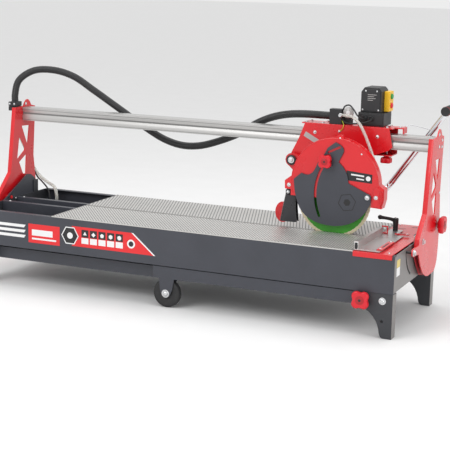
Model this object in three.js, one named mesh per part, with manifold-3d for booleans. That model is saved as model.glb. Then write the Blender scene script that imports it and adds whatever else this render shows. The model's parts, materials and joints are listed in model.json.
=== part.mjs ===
// Wet tile saw: a bridge saw with a tilting bridge, a plunging cutting head and folding wheeled legs.
// Millimetres. +X runs along the bridge, +Y from the operator's side to the back, +Z up.
// The floor is Z = 0. The origin is the middle of the footprint of everything but the loose cords.
import * as THREE from 'three';
import { mergeVertices } from 'three/addons/utils/BufferGeometryUtils.js';
import Module from 'manifold-3d';

const wasm = await Module();
wasm.setup();

// ---------------------------------------------------------------- driving dimensions
const GAP = 0.3; // what touches keeps this much air

// base frame, X = 0 at its right end, Y = 0 at its front face
const FRAME_LENGTH = 1530;
const FRAME_DEPTH = 480;
const FRAME_BOTTOM = 142;
const FRAME_TOP = 263;
const SHEET = 3;
const PANEL_FLANGE = 22;

// rails between the end panels, tables and water tray
const TUBE_WALL = 2;
const RAIL_WIDTH = 20;
const RAIL_HEIGHT = 40;
const FRONT_RAIL_Y = 171;
const BACK_RAIL_Y = 262;
const TABLE_THICKNESS = 4;
const TABLE_LENGTH = 1081;
const BLADE_SLOT = 12;
const BLADE_SLOT_LEAD = 4; // the slot starts this far in front of the cut line
const TRAY_HEIGHT = 68;
const TRAY_WALL = 3;
const TRAY_END_ROOM = 30;

// end plate and fence
const END_PLATE_WIDTH = 126;
const END_PLATE_INSET = 8;
const END_PLATE_LIP = 13;
const FENCE_HEIGHT = 27;
const FENCE_THICKNESS = 14;
const FENCE_BASE_WIDTH = 70;
const FENCE_BASE_THICKNESS = 3.5;
const FENCE_LENGTH = 253;
const FENCE_FRONT_Y = 9;
const CLAMP_ARM_LENGTH = 62;
const CLAMP_POST_RADIUS = 8.5;
const CLAMP_POST_HEIGHT = 37;

// cut line, tilt and towers
const CUT_LINE_Y = 228;
const TILT_PIN_RADIUS = 6;
const RUNNING_CLEARANCE = 0.4;
const TILT_SLOT_RADIUS = 107;
const TILT_SLOT_WIDTH = 9;
const TILT_GUIDE_ANGLE = 8; // degrees below the horizontal, in front of the pivot
const TILT_SLOT_END_ANGLE = 62;
const TOWER_SHEET = 4;
const TOWER_FLANGE = 12;
const TOWER_OVERHANG = 20; // from the frame's end to the near face of each tower web
const TILT_KNOB_REACH = 167; // behind the pivot
const TILT_KNOB_RISE = 27; // above the pivot

// bridge rail
const BRIDGE_SIZE = 48;
const BRIDGE_FRONT_Y = 338;
const BRIDGE_BOTTOM_Z = 538;
const BRIDGE_GROOVE = 7;

// blade, motor and guard
const BLADE_RADIUS = 125;
const BLADE_THICKNESS = 3.2;
const BLADE_X = -279;
const BLADE_DEPTH = 16; // below the table top
const BLADE_BORE = 12.5;
const FLANGE_RADIUS = 30;
const MOTOR_RADIUS = 62;
const MOTOR_WALL = 4;
const MOTOR_FRONT_Y = 256;
const MOTOR_LENGTH = 165;
const GUARD_RADIUS = 150;
const GUARD_RISE = 54; // guard centre above the blade centre
const GUARD_WIDTH = 35;
const GUARD_WALL = 2.5;
const COVER_THICKNESS = 3;
const COVER_SLOT_WIDTH = 8;

// carriage
const CARRIAGE_LEFT = -440;
const CARRIAGE_RIGHT = -125;
const CARRIAGE_PLATE = 4;
const CARRIAGE_AIR = 12; // between the rail and the saddle behind it
const ROLLER_RADIUS = 8;
const ROLLER_LENGTH = 30;
const PLUNGE_X = -461;
const PLUNGE_Z = 482;
const PLUNGE_PIN_RADIUS = 8;
const ARM_THICKNESS = 20;

// switch box
const SWITCH_WIDTH = 70;
const SWITCH_DEPTH = 80;
const SWITCH_HEIGHT = 82;
const SWITCH_BASE_HEIGHT = 44;
const BUTTON_RADIUS = 9;
const BUTTON_TRAVEL = 3;

// handle
const HANDLE_TUBE_RADIUS = 11;
const GRIP_RADIUS = 15.5;
const GRIP_LENGTH = 110;

// legs, feet and wheels
const LEG_HEIGHT = 40;
const LEG_WIDTH = 29;
const LEG_PIN_RADIUS = 7;
const FOOT_DEPTH = 37;
const FOOT_WIDTH = 36;
const RIGHT_PIVOT_INSET = 33;
const RIGHT_PIVOT_Z = 119;
const RIGHT_LEG_REACH = 793;
const LEFT_PIVOT_INSET = 33;
const LEFT_PIVOT_Z = 108;
const LEFT_LEG_REACH = 788;
const LEFT_LEG_SETBACK = 41; // left legs fold inboard of the right ones
const LOCK_REACH = 65;
const WHEEL_RADIUS = 48;
const WHEEL_WIDTH = 21;
const WHEEL_X = -778;
const HUB_RADIUS = 18;
const AXLE_RADIUS = 5;

// hand knobs
const KNOB_RADIUS = 31;
const SLIDE_LOCK_RADIUS = 20;
const GUARD_KNOB_RADIUS = 24;
const KNOB_THICKNESS = 20;
const STUD_RADIUS = 4;

// ---------------------------------------------------------------- derived places
const TABLE_TOP = FRAME_TOP + GAP + TABLE_THICKNESS;
const SLOT_FRONT_Y = CUT_LINE_Y - BLADE_SLOT_LEAD;
const SLOT_BACK_Y = SLOT_FRONT_Y + BLADE_SLOT;
const END_PLATE_LEFT = -END_PLATE_INSET - END_PLATE_WIDTH;
const TABLE_RIGHT = END_PLATE_LEFT - GAP;
const TABLE_LEFT = TABLE_RIGHT - TABLE_LENGTH;
const RIGHT_WEB_X = TOWER_OVERHANG;
const LEFT_WEB_X = -FRAME_LENGTH - TOWER_OVERHANG;
const TILT_PIVOT = [CUT_LINE_Y, TABLE_TOP];
const TILT_KNOB = [CUT_LINE_Y + TILT_KNOB_REACH, TABLE_TOP + TILT_KNOB_RISE];
const BRIDGE_BACK_Y = BRIDGE_FRONT_Y + BRIDGE_SIZE;
const BRIDGE_TOP_Z = BRIDGE_BOTTOM_Z + BRIDGE_SIZE;
const BRIDGE_MID_Y = BRIDGE_FRONT_Y + BRIDGE_SIZE / 2;
const BRIDGE_MID_Z = BRIDGE_BOTTOM_Z + BRIDGE_SIZE / 2;
const BLADE_Z = TABLE_TOP - BLADE_DEPTH + BLADE_RADIUS;
const BLADE_FRONT_Y = CUT_LINE_Y - BLADE_THICKNESS / 2;
const BLADE_BACK_Y = CUT_LINE_Y + BLADE_THICKNESS / 2;
const GUARD_FRONT_Y = CUT_LINE_Y - GUARD_WIDTH / 2;
const GUARD_BACK_Y = CUT_LINE_Y + GUARD_WIDTH / 2;
const GUARD_X = BLADE_X + 4;
const GUARD_Z = BLADE_Z + GUARD_RISE;
const COVER_BACK_Y = GUARD_FRONT_Y - 1.5;
const COVER_FRONT_Y = COVER_BACK_Y - COVER_THICKNESS;
const COVER_HINGE = [BLADE_X + 119, BLADE_Z + 20];
const GUARD_KNOB = [BLADE_X - 23, BLADE_Z + 128];
const PLATE_BACK_Y = BRIDGE_FRONT_Y - CARRIAGE_PLATE;
const PLATE_FRONT_Y = PLATE_BACK_Y - CARRIAGE_PLATE;
const ARM_BACK_Y = PLATE_FRONT_Y - 5;
const ARM_FRONT_Y = ARM_BACK_Y - ARM_THICKNESS;
const SADDLE_BOTTOM_Z = BRIDGE_TOP_Z + 2 * ROLLER_RADIUS + 2;
const SADDLE_TOP_Z = SADDLE_BOTTOM_Z + CARRIAGE_PLATE;
const SADDLE_BACK_Y = BRIDGE_BACK_Y + CARRIAGE_AIR + CARRIAGE_PLATE;

// ---------------------------------------------------------------- solid helpers
const rad = THREE.MathUtils.degToRad;

// The corner of a circle of the given radius, `angle` degrees from the first axis.
const polar = (centre, radius, angle) => [
  centre[0] + radius * Math.cos(rad(angle)),
  centre[1] + radius * Math.sin(rad(angle)),
];

// A closed solid from a three.js geometry.
function solid(geometry) {
  const plain = geometry.index ? geometry.toNonIndexed() : geometry.clone();
  plain.deleteAttribute('normal');
  plain.deleteAttribute('uv');
  const merged = mergeVertices(plain, 1e-4);
  const vertProperties = new Float32Array(merged.attributes.position.array);
  const triVerts = new Uint32Array(merged.index.array);
  return new wasm.Manifold(new wasm.Mesh({ numProp: 3, vertProperties, triVerts }));
}

// A three.js geometry from a closed solid.
function geometryOf(manifold) {
  const mesh = manifold.getMesh();
  const points = new Float32Array((mesh.vertProperties.length / mesh.numProp) * 3);
  for (let i = 0; i < points.length / 3; i += 1) {
    for (let k = 0; k < 3; k += 1) {
      points[3 * i + k] = mesh.vertProperties[mesh.numProp * i + k];
    }
  }
  const geometry = new THREE.BufferGeometry();
  geometry.setAttribute('position', new THREE.BufferAttribute(points, 3));
  geometry.setIndex(new THREE.BufferAttribute(new Uint32Array(mesh.triVerts), 1));
  geometry.computeVertexNormals();
  return geometry;
}

const join = (first, ...rest) => rest.reduce((all, one) => all.add(one), first);
const cut = (first, ...rest) => rest.reduce((left, one) => left.subtract(one), first);

// Turns a shape drawn in the first two axes into the named plane, its depth along the third axis.
const PLANES = {
  XY: new THREE.Matrix4(),
  XZ: new THREE.Matrix4().set(1, 0, 0, 0, 0, 0, -1, 0, 0, 1, 0, 0, 0, 0, 0, 1),
  YZ: new THREE.Matrix4().set(0, 0, 1, 0, 1, 0, 0, 0, 0, 1, 0, 0, 0, 0, 0, 1),
};

// Extrudes an outline in the named plane from `low` to `high` along the remaining axis.
function slab(shape, plane, low, high, curveSegments = 6) {
  const outline = shape instanceof THREE.Shape ? shape : polygon(shape);
  const options = { depth: high - low, bevelEnabled: false, curveSegments };
  const geometry = new THREE.ExtrudeGeometry(outline, options);
  geometry.translate(0, 0, plane === 'XZ' ? -high : low);
  return solid(geometry.applyMatrix4(PLANES[plane]));
}

function polygon(points) {
  return new THREE.Shape(points.map(([a, b]) => new THREE.Vector2(a, b)));
}

function box(x, y, z) {
  const geometry = new THREE.BoxGeometry(x[1] - x[0], y[1] - y[0], z[1] - z[0]);
  geometry.translate((x[0] + x[1]) / 2, (y[0] + y[1]) / 2, (z[0] + z[1]) / 2);
  return solid(geometry);
}

// A rectangular tube along X, open at both ends.
function boxTube(x, y, z, wall) {
  const inside = box([x[0] - 1, x[1] + 1], [y[0] + wall, y[1] - wall], [z[0] + wall, z[1] - wall]);
  return cut(box(x, y, z), inside);
}

// A cylinder along an axis, `centre` in the other two axes in X, Y, Z order.
function rod(axis, radius, centre, low, high, sides = 16) {
  const geometry = new THREE.CylinderGeometry(radius, radius, high - low, sides);
  const middle = (low + high) / 2;
  if (axis === 'X') {
    geometry.rotateZ(Math.PI / 2);
    geometry.translate(middle, centre[0], centre[1]);
  } else if (axis === 'Y') {
    geometry.translate(centre[0], middle, centre[1]);
  } else {
    geometry.rotateX(Math.PI / 2);
    geometry.translate(centre[0], centre[1], middle);
  }
  return solid(geometry);
}

// A ring of constant section turned about Y, profile points are [radius, y].
function turnedY(profile, centre, sides = 24) {
  const closed = profile.map(([r, y]) => new THREE.Vector2(r, y));
  closed.push(closed[0].clone());
  const geometry = new THREE.LatheGeometry(closed, sides);
  geometry.translate(centre[0], 0, centre[1]);
  return solid(geometry);
}

// A slot of the given width bent along an arc, as a solid to cut with.
function arcSlot(plane, centre, radius, width, fromAngle, toAngle, low, high) {
  const steps = 12;
  const outer = [];
  const inner = [];
  for (let i = 0; i <= steps; i += 1) {
    const angle = fromAngle + ((toAngle - fromAngle) * i) / steps;
    outer.push(polar(centre, radius + width / 2, angle));
    inner.unshift(polar(centre, radius - width / 2, angle));
  }
  const ends = [fromAngle, toAngle].map((angle) => slab(
    disc(polar(centre, radius, angle), width / 2), plane, low, high, 8));
  return join(slab([...outer, ...inner], plane, low, high), ...ends);
}

function disc(centre, radius) {
  const shape = new THREE.Shape();
  shape.absarc(centre[0], centre[1], radius, 0, 2 * Math.PI, false);
  return shape;
}

// A round tube along a curve; `sides` points round it and a step every `step` of its length.
function tube(curve, radius, sides, step) {
  const section = polygon(Array.from({ length: sides }, (_, i) => polar([0, 0], radius, (360 * i) / sides)));
  const steps = Math.max(2, Math.round(curve.getLength() / step));
  return solid(new THREE.ExtrudeGeometry(section, { steps, bevelEnabled: false, extrudePath: curve }));
}

const curveThrough = (points) => new THREE.CatmullRomCurve3(
  points.map((p) => new THREE.Vector3(...p)), false, 'centripetal');

// ---------------------------------------------------------------- materials and nodes
const finish = (color, roughness, metalness) => () => (
  new THREE.MeshStandardMaterial({ color, roughness, metalness })
);
const RED = finish(0xd3121b, 0.4, 0.1);
const SLATE = finish(0x41454f, 0.5, 0.2);
const PALE_GREY = finish(0x827e7b, 0.5, 0.3);
const ALUMINIUM = finish(0xb9b7b4, 0.35, 0.9);
const CHROME = finish(0xc9ccd1, 0.12, 1.0);
const STEEL = finish(0x8f9296, 0.35, 1.0);
const BLACK_PLASTIC = finish(0x1b1c1f, 0.55, 0.0);
const RUBBER = finish(0x17181a, 0.85, 0.0);
const YELLOW = finish(0xf2bb16, 0.4, 0.0);
const GREEN = finish(0x2c8a22, 0.45, 0.1);
const HOSE = finish(0xd9d8ce, 0.3, 0.0);

const group = new THREE.Group();
const bodies = {};
for (const name of ['frame', 'right_leg', 'left_leg', 'bridge', 'carriage', 'head', 'fence', 'cords']) {
  bodies[name] = new THREE.Group();
  bodies[name].name = `${name}_group`;
  group.add(bodies[name]);
}

function addPart(parent, name, manifold, material) {
  const mesh = new THREE.Mesh(geometryOf(manifold), material());
  mesh.name = name;
  bodies[parent].add(mesh);
  return mesh;
}

// ---------------------------------------------------------------- base frame
function sidePanel(outerY, inward) {
  const y = (depth) => outerY + inward * depth;
  const web = [Math.min(y(0), y(SHEET)), Math.max(y(0), y(SHEET))];
  const flange = [Math.min(y(0), y(PANEL_FLANGE)), Math.max(y(0), y(PANEL_FLANGE))];
  return join(
    box([-FRAME_LENGTH, 0], web, [FRAME_BOTTOM, FRAME_TOP]),
    box([-FRAME_LENGTH, 0], flange, [FRAME_BOTTOM, FRAME_BOTTOM + SHEET]),
    box([-FRAME_LENGTH, 0], flange, [FRAME_TOP - SHEET, FRAME_TOP]),
  );
}

// An end panel with the arc slot of the tilt guide, an ear round the tilt pivot and a tab for the tilt knob.
function endPanel(low, high) {
  const edge = PANEL_FLANGE + GAP;
  const bottom = FRAME_BOTTOM + SHEET + GAP;
  const top = FRAME_TOP - SHEET - GAP;
  const side = SHEET + GAP;
  const panel = [
    [side, bottom], [FRAME_DEPTH - side, bottom], [FRAME_DEPTH - side, top], [FRAME_DEPTH - edge, top],
    [FRAME_DEPTH - edge, FRAME_TOP], [edge, FRAME_TOP], [edge, top], [side, top],
  ];
  const ear = slab(disc(TILT_PIVOT, 2.4 * TILT_PIN_RADIUS), 'YZ', low, high);
  const tab = box([low, high], [TILT_KNOB[0] - 15, TILT_KNOB[0] + 15], [top - 10, TILT_KNOB[1] + 14]);
  return cut(
    join(slab(panel, 'YZ', low, high), ear, tab),
    rod('X', TILT_PIN_RADIUS + RUNNING_CLEARANCE, TILT_PIVOT, low - 1, high + 1),
    arcSlot('YZ', TILT_PIVOT, TILT_SLOT_RADIUS, TILT_SLOT_WIDTH,
      180 + TILT_GUIDE_ANGLE, 180 + TILT_SLOT_END_ANGLE,
      low - 1, high + 1),
  );
}

function midRail(frontY) {
  const x = [-FRAME_LENGTH + SHEET + GAP, -SHEET - GAP];
  return boxTube(x, [frontY, frontY + RAIL_WIDTH], [FRAME_TOP - RAIL_HEIGHT, FRAME_TOP], TUBE_WALL);
}

function waterTray() {
  const x = [-FRAME_LENGTH + TRAY_END_ROOM, -TRAY_END_ROOM];
  const y = [SHEET + 1, FRAME_DEPTH - SHEET - 1];
  const z = [FRAME_BOTTOM + SHEET + GAP, FRAME_BOTTOM + SHEET + GAP + TRAY_HEIGHT];
  const inside = box(
    [x[0] + TRAY_WALL, x[1] - TRAY_WALL], [y[0] + TRAY_WALL, y[1] - TRAY_WALL], [z[0] + TRAY_WALL, z[1] + 1]);
  return cut(box(x, y, z), inside);
}

function table(lowY, highY) {
  return box([TABLE_LEFT, TABLE_RIGHT], [lowY, highY], [FRAME_TOP + GAP, TABLE_TOP]);
}

function endPlate() {
  const bottom = FRAME_TOP + GAP;
  const lipFront = -SHEET;
  return join(
    box([END_PLATE_LEFT, -END_PLATE_INSET], [lipFront, FRAME_DEPTH - 7], [bottom, bottom + SHEET]),
    box([END_PLATE_LEFT, -END_PLATE_INSET], [lipFront, -GAP], [bottom - END_PLATE_LIP, bottom + SHEET]),
  );
}

// The dark plate on the frame's left end that carries the left tower's pivot.
function leftTiltBracket() {
  const high = -FRAME_LENGTH - GAP;
  const low = high - TOWER_SHEET;
  const back = TILT_KNOB[0] + 8;
  const outline = [
    [CUT_LINE_Y - 46, FRAME_TOP - 60], [back, FRAME_TOP - 60],
    [back, TILT_KNOB[1] + 10], [back - 16, FRAME_TOP + 58],
    [CUT_LINE_Y + 138, FRAME_TOP + 70], [CUT_LINE_Y + 114, FRAME_TOP + 73], [CUT_LINE_Y - 46, FRAME_TOP - 3],
  ];
  const ear = slab(disc(TILT_PIVOT, 2.4 * TILT_PIN_RADIUS), 'YZ', low, high);
  const slot = arcSlot('YZ', TILT_PIVOT, TILT_SLOT_RADIUS, TILT_SLOT_WIDTH, 180 + TILT_GUIDE_ANGLE,
    180 + TILT_SLOT_END_ANGLE, low - 1, high + 1);
  const hole = rod('X', TILT_PIN_RADIUS + RUNNING_CLEARANCE, TILT_PIVOT, low - 1, high + 1);
  return cut(join(slab(outline, 'YZ', low, high), ear), hole, slot);
}

// A submersible pump standing in the tray, with an outlet spigot on top.
const PUMP = { x: [-1478, -1422], y: [392, 442], height: 58, spigotRadius: 7, spigotHeight: 14 };

function waterPump() {
  const bottom = FRAME_BOTTOM + SHEET + TRAY_WALL + 2 * GAP;
  const top = bottom + PUMP.height;
  const middle = [(PUMP.x[0] + PUMP.x[1]) / 2, (PUMP.y[0] + PUMP.y[1]) / 2];
  return join(
    box(PUMP.x, PUMP.y, [bottom, top]),
    rod('Z', PUMP.spigotRadius, middle, top - 1, top + PUMP.spigotHeight, 12),
  );
}

// ---------------------------------------------------------------- feet and legs
const mirrorY = ([a, b]) => [FRAME_DEPTH - b, FRAME_DEPTH - a];

// Outline of the right foot's side plate, in X and Z.
function footOutline(plateReach) {
  const top = FRAME_BOTTOM - GAP;
  const legBottom = RIGHT_PIVOT_Z - LEG_HEIGHT / 2;
  const shape = new THREE.Shape();
  shape.moveTo(0, top);
  shape.lineTo(-plateReach, top);
  shape.lineTo(-plateReach, legBottom);
  shape.lineTo(-plateReach + 22, legBottom - 2);
  shape.quadraticCurveTo(-FOOT_WIDTH - 16, legBottom - 24, -FOOT_WIDTH - 6, 25);
  shape.quadraticCurveTo(-FOOT_WIDTH - 4, 4, -FOOT_WIDTH + 6, 0);
  shape.lineTo(0, 0);
  shape.closePath();
  return shape;
}

// A right foot: two side plates, an end flange, a top and the leg's pivot pin, all one weldment.
function rightFoot(placeY) {
  const outline = footOutline(RIGHT_PIVOT_INSET + LOCK_REACH + 30);
  const inner = FOOT_DEPTH - SHEET;
  const pivot = [-RIGHT_PIVOT_INSET, RIGHT_PIVOT_Z];
  const lockHoles = [
    [-RIGHT_PIVOT_INSET - LOCK_REACH, RIGHT_PIVOT_Z], [-RIGHT_PIVOT_INSET, RIGHT_PIVOT_Z - LOCK_REACH],
  ];
  const holes = lockHoles.map((at) => rod('Y', STUD_RADIUS + 1, at, ...placeY([-1, SHEET + 1]), 12));
  return cut(
    join(
      slab(outline, 'XZ', ...placeY([0, SHEET])),
      slab(outline, 'XZ', ...placeY([inner, FOOT_DEPTH])),
      box([-SHEET, 0], placeY([0, FOOT_DEPTH]), [0, FRAME_BOTTOM - GAP]),
      box([-RIGHT_PIVOT_INSET - LOCK_REACH - 30, 0], placeY([0, FOOT_DEPTH]),
        [FRAME_BOTTOM - 2, FRAME_BOTTOM - GAP]),
      rod('Y', LEG_PIN_RADIUS, pivot, ...placeY([1, FOOT_DEPTH - 1])),
    ),
    ...holes,
  );
}

// A left foot: the leg swings behind its outer plate, and the lock plate stands behind the leg.
function leftFoot(placeY) {
  const far = LEFT_LEG_SETBACK + LEG_WIDTH + 1;
  const pivot = [-FRAME_LENGTH + LEFT_PIVOT_INSET, LEFT_PIVOT_Z];
  const top = FRAME_BOTTOM - GAP;
  const narrow = [
    [-FRAME_LENGTH, 0], [-FRAME_LENGTH + FOOT_WIDTH - 6, 0], [-FRAME_LENGTH + FOOT_WIDTH + 6, 30],
    [-FRAME_LENGTH + FOOT_WIDTH + 20, 84], [-FRAME_LENGTH + FOOT_WIDTH + 28, top], [-FRAME_LENGTH, top],
  ];
  const lockX = -FRAME_LENGTH + LEFT_PIVOT_INSET + LOCK_REACH;
  const lockPlate = box([-FRAME_LENGTH, lockX + 26], placeY([far, far + SHEET]),
    [LEFT_PIVOT_Z - LEG_HEIGHT / 2, top]);
  const lockHoles = [[lockX, LEFT_PIVOT_Z]];
  const holes = lockHoles.map((at) => rod('Y', STUD_RADIUS + 1, at, ...placeY([far - 1, far + SHEET + 1]), 12));
  return cut(
    join(
      slab(narrow, 'XZ', ...placeY([0, SHEET])),
      box([-FRAME_LENGTH, -FRAME_LENGTH + SHEET], placeY([0, far + SHEET]), [0, top]),
      lockPlate,
      rod('Y', LEG_PIN_RADIUS, pivot, ...placeY([1, far + 1])),
    ),
    ...holes,
  );
}

// One leg bar along X: a tube open at its far end, round at its pivot end and bored for the pivot pin.
function legBar(pivotX, pivotZ, farX, y) {
  const half = LEG_HEIGHT / 2;
  const toward = Math.sign(farX - pivotX);
  const span = (from, to) => [Math.min(from, to), Math.max(from, to)];
  const bore = half - TUBE_WALL;
  const inside = box(span(pivotX + toward * half, farX + toward), [y[0] + TUBE_WALL, y[1] - TUBE_WALL],
    [pivotZ - bore, pivotZ + bore]);
  return cut(
    join(box(span(pivotX, farX), y, [pivotZ - half, pivotZ + half]), rod('Y', half, [pivotX, pivotZ], ...y, 24)),
    rod('Y', LEG_PIN_RADIUS + RUNNING_CLEARANCE, [pivotX, pivotZ], y[0] - 1, y[1] + 1),
    inside,
  );
}

const RIGHT_LEG_Y = [SHEET + 1, SHEET + 1 + LEG_WIDTH];
const LEFT_LEG_Y = [LEFT_LEG_SETBACK, LEFT_LEG_SETBACK + LEG_WIDTH];
const WHEEL_Z = WHEEL_RADIUS + GAP;

// The plates under a right leg that hold its wheel, and the axle between them.
function wheelFork(y) {
  const top = RIGHT_PIVOT_Z - LEG_HEIGHT / 2;
  const outline = new THREE.Shape();
  outline.moveTo(WHEEL_X - 25, top + 1);
  outline.lineTo(WHEEL_X - 22, WHEEL_Z + 14);
  outline.quadraticCurveTo(WHEEL_X - 16, WHEEL_Z - 14, WHEEL_X, WHEEL_Z - 15);
  outline.quadraticCurveTo(WHEEL_X + 16, WHEEL_Z - 12, WHEEL_X + 24, WHEEL_Z + 18);
  outline.lineTo(WHEEL_X + 30, top + 1);
  outline.closePath();
  return join(
    slab(outline, 'XZ', y[0], y[0] + SHEET),
    slab(outline, 'XZ', y[1] - SHEET, y[1]),
    rod('Y', AXLE_RADIUS, [WHEEL_X, WHEEL_Z], y[0] + 1, y[1] - 1),
  );
}

function rightLegFrame() {
  const pivotX = -RIGHT_PIVOT_INSET;
  const farX = pivotX - RIGHT_LEG_REACH;
  const pair = [RIGHT_LEG_Y, mirrorY(RIGHT_LEG_Y)];
  const bars = pair.map((y) => join(legBar(pivotX, RIGHT_PIVOT_Z, farX, y), wheelFork(y)));
  const crossX = pivotX - RIGHT_LEG_REACH * 0.7;
  const cross = rod('Y', 12, [crossX, RIGHT_PIVOT_Z], RIGHT_LEG_Y[1] - 1, FRAME_DEPTH - RIGHT_LEG_Y[1] + 1, 12);
  return join(...bars, cross);
}

function leftLegFrame() {
  const pivotX = -FRAME_LENGTH + LEFT_PIVOT_INSET;
  const farX = pivotX + LEFT_LEG_REACH;
  const pair = [LEFT_LEG_Y, mirrorY(LEFT_LEG_Y)];
  const bars = pair.map((y) => legBar(pivotX, LEFT_PIVOT_Z, farX, y));
  const crossX = pivotX + LEFT_LEG_REACH * 0.4;
  const cross = rod('Y', 12, [crossX, LEFT_PIVOT_Z], LEFT_LEG_Y[1] - 1, FRAME_DEPTH - LEFT_LEG_Y[1] + 1, 12);
  return join(...bars, cross);
}

// Wheel pieces, turned about Y round their own centre.
function tyre() {
  const half = WHEEL_WIDTH / 2;
  const inner = HUB_RADIUS + GAP;
  const profile = [
    [inner, -half + 2], [WHEEL_RADIUS - 12, -half], [WHEEL_RADIUS - 4, -half + 1.5], [WHEEL_RADIUS, -half + 6],
    [WHEEL_RADIUS, half - 6], [WHEEL_RADIUS - 4, half - 1.5], [WHEEL_RADIUS - 12, half], [inner, half - 2],
  ];
  return turnedY(profile, [0, 0], 28);
}

function hub() {
  const half = WHEEL_WIDTH / 2;
  const bore = AXLE_RADIUS + RUNNING_CLEARANCE;
  return turnedY([[bore, -half], [HUB_RADIUS, -half + 2], [HUB_RADIUS, half - 2], [bore, half]], [0, 0], 20);
}

// ---------------------------------------------------------------- hand knobs
// A four-lobed knob about Z, its face at z = 0 and its stud running to z = -studLength.
function handKnob(radius, thickness, studRadius, studLength) {
  const shape = new THREE.Shape();
  const waist = radius * 0.78;
  for (let lobe = 0; lobe < 4; lobe += 1) {
    const start = 90 * lobe + 45;
    const points = [[waist, -45], [radius, -22], [radius * 1.04, 0], [radius, 22]]
      .map(([r, turn]) => polar([0, 0], r, start + turn));
    for (const [index, point] of points.entries()) {
      if (lobe === 0 && index === 0) {
        shape.moveTo(...point);
      } else {
        shape.lineTo(...point);
      }
    }
  }
  shape.closePath();
  const body = slab(shape, 'XY', -thickness, 0);
  const neck = rod('Z', radius * 0.45, [0, 0], -thickness - 4, -thickness + 1, 12);
  return join(body, neck, rod('Z', studRadius, [0, 0], -studLength, -thickness, 10));
}

// Places a knob so that its face looks along `direction` from `at`.
function addKnob(parent, name, at, direction, studEnd, radius = KNOB_RADIUS) {
  const axis = Math.abs(direction[0]) > 0.5 ? 0 : Math.abs(direction[1]) > 0.5 ? 1 : 2;
  const studLength = Math.abs(at[axis] - studEnd);
  const knob = addPart(parent, name, handKnob(radius, KNOB_THICKNESS, STUD_RADIUS, studLength), RED);
  knob.quaternion.setFromUnitVectors(new THREE.Vector3(0, 0, 1), new THREE.Vector3(...direction));
  knob.position.set(...at);
  return knob;
}

// ---------------------------------------------------------------- bridge and towers
// Side outline of a tower web in Y and Z, from the top ear down to the lobe below the pivot.
function towerOutline() {
  const shape = new THREE.Shape();
  const top = BRIDGE_TOP_Z;
  const back = BRIDGE_BACK_Y + 39;
  shape.moveTo(BRIDGE_FRONT_Y - 44, top + 2);
  shape.lineTo(CUT_LINE_Y + 30, 352);
  shape.lineTo(CUT_LINE_Y - 44, TABLE_TOP + 14);
  shape.lineTo(CUT_LINE_Y - 48, TABLE_TOP - 28);
  shape.quadraticCurveTo(CUT_LINE_Y + 4, 146, CUT_LINE_Y + 80, 138);
  shape.lineTo(CUT_LINE_Y + 146, 138);
  shape.quadraticCurveTo(CUT_LINE_Y + 186, 146, CUT_LINE_Y + 192, 205);
  shape.lineTo(CUT_LINE_Y + 197, TABLE_TOP + 25);
  shape.lineTo(CUT_LINE_Y + 182, 400);
  shape.lineTo(back, top - 2);
  shape.lineTo(BRIDGE_MID_Y + 36, top + 4);
  shape.quadraticCurveTo(BRIDGE_MID_Y + 12, top + 50, BRIDGE_MID_Y - 16, top + 4);
  shape.closePath();
  return shape;
}

const TRUSS_HOLES = [
  [[333, 517], [384, 515], [372, 449], [366, 449]],
  [[316, 482], [353, 434], [350, 424], [303, 396], [300, 400]],
  [[362, 410], [356, 336], [338, 336], [312, 384]],
];

// The tilt guide's tab, ahead of the pivot, which the guide bolt holds to the end panel's arc slot.
function guideTab(low, high) {
  const guide = polar(TILT_PIVOT, TILT_SLOT_RADIUS, 180 + TILT_GUIDE_ANGLE);
  const tab = [
    [guide[0], guide[1] - 13], [CUT_LINE_Y, TABLE_TOP - 34],
    [CUT_LINE_Y, TABLE_TOP - 4], [guide[0], guide[1] + 13],
  ];
  return join(slab(tab, 'YZ', low, high), slab(disc(guide, 13), 'YZ', low, high));
}

// A tower: web, front flange on its left side, and the pivot pin towards the frame.
function tower(webLow, pinEnd) {
  const webHigh = webLow + TOWER_SHEET;
  const flangeLow = webLow - TOWER_FLANGE;
  const front = [
    [BRIDGE_FRONT_Y - 44, BRIDGE_TOP_Z + 2], [CUT_LINE_Y + 30, 352], [CUT_LINE_Y - 44, TABLE_TOP + 14],
    [CUT_LINE_Y - 48, TABLE_TOP - 28],
  ];
  const inner = front.map(([y, z]) => [y + TOWER_SHEET, z]).reverse();
  const pin = [Math.min(webLow + 1, pinEnd), Math.max(webHigh - 1, pinEnd)];
  const web = cut(
    join(slab(towerOutline(), 'YZ', webLow, webHigh), guideTab(webLow, webHigh)),
    ...TRUSS_HOLES.map((hole) => slab(hole, 'YZ', webLow - 1, webHigh + 1)),
    rod('X', STUD_RADIUS + 1, TILT_KNOB, webLow - 1, webHigh + 1, 12),
  );
  const flange = slab([...front, ...inner], 'YZ', flangeLow, webHigh);
  return join(web, flange, rod('X', TILT_PIN_RADIUS, TILT_PIVOT, ...pin));
}

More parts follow.
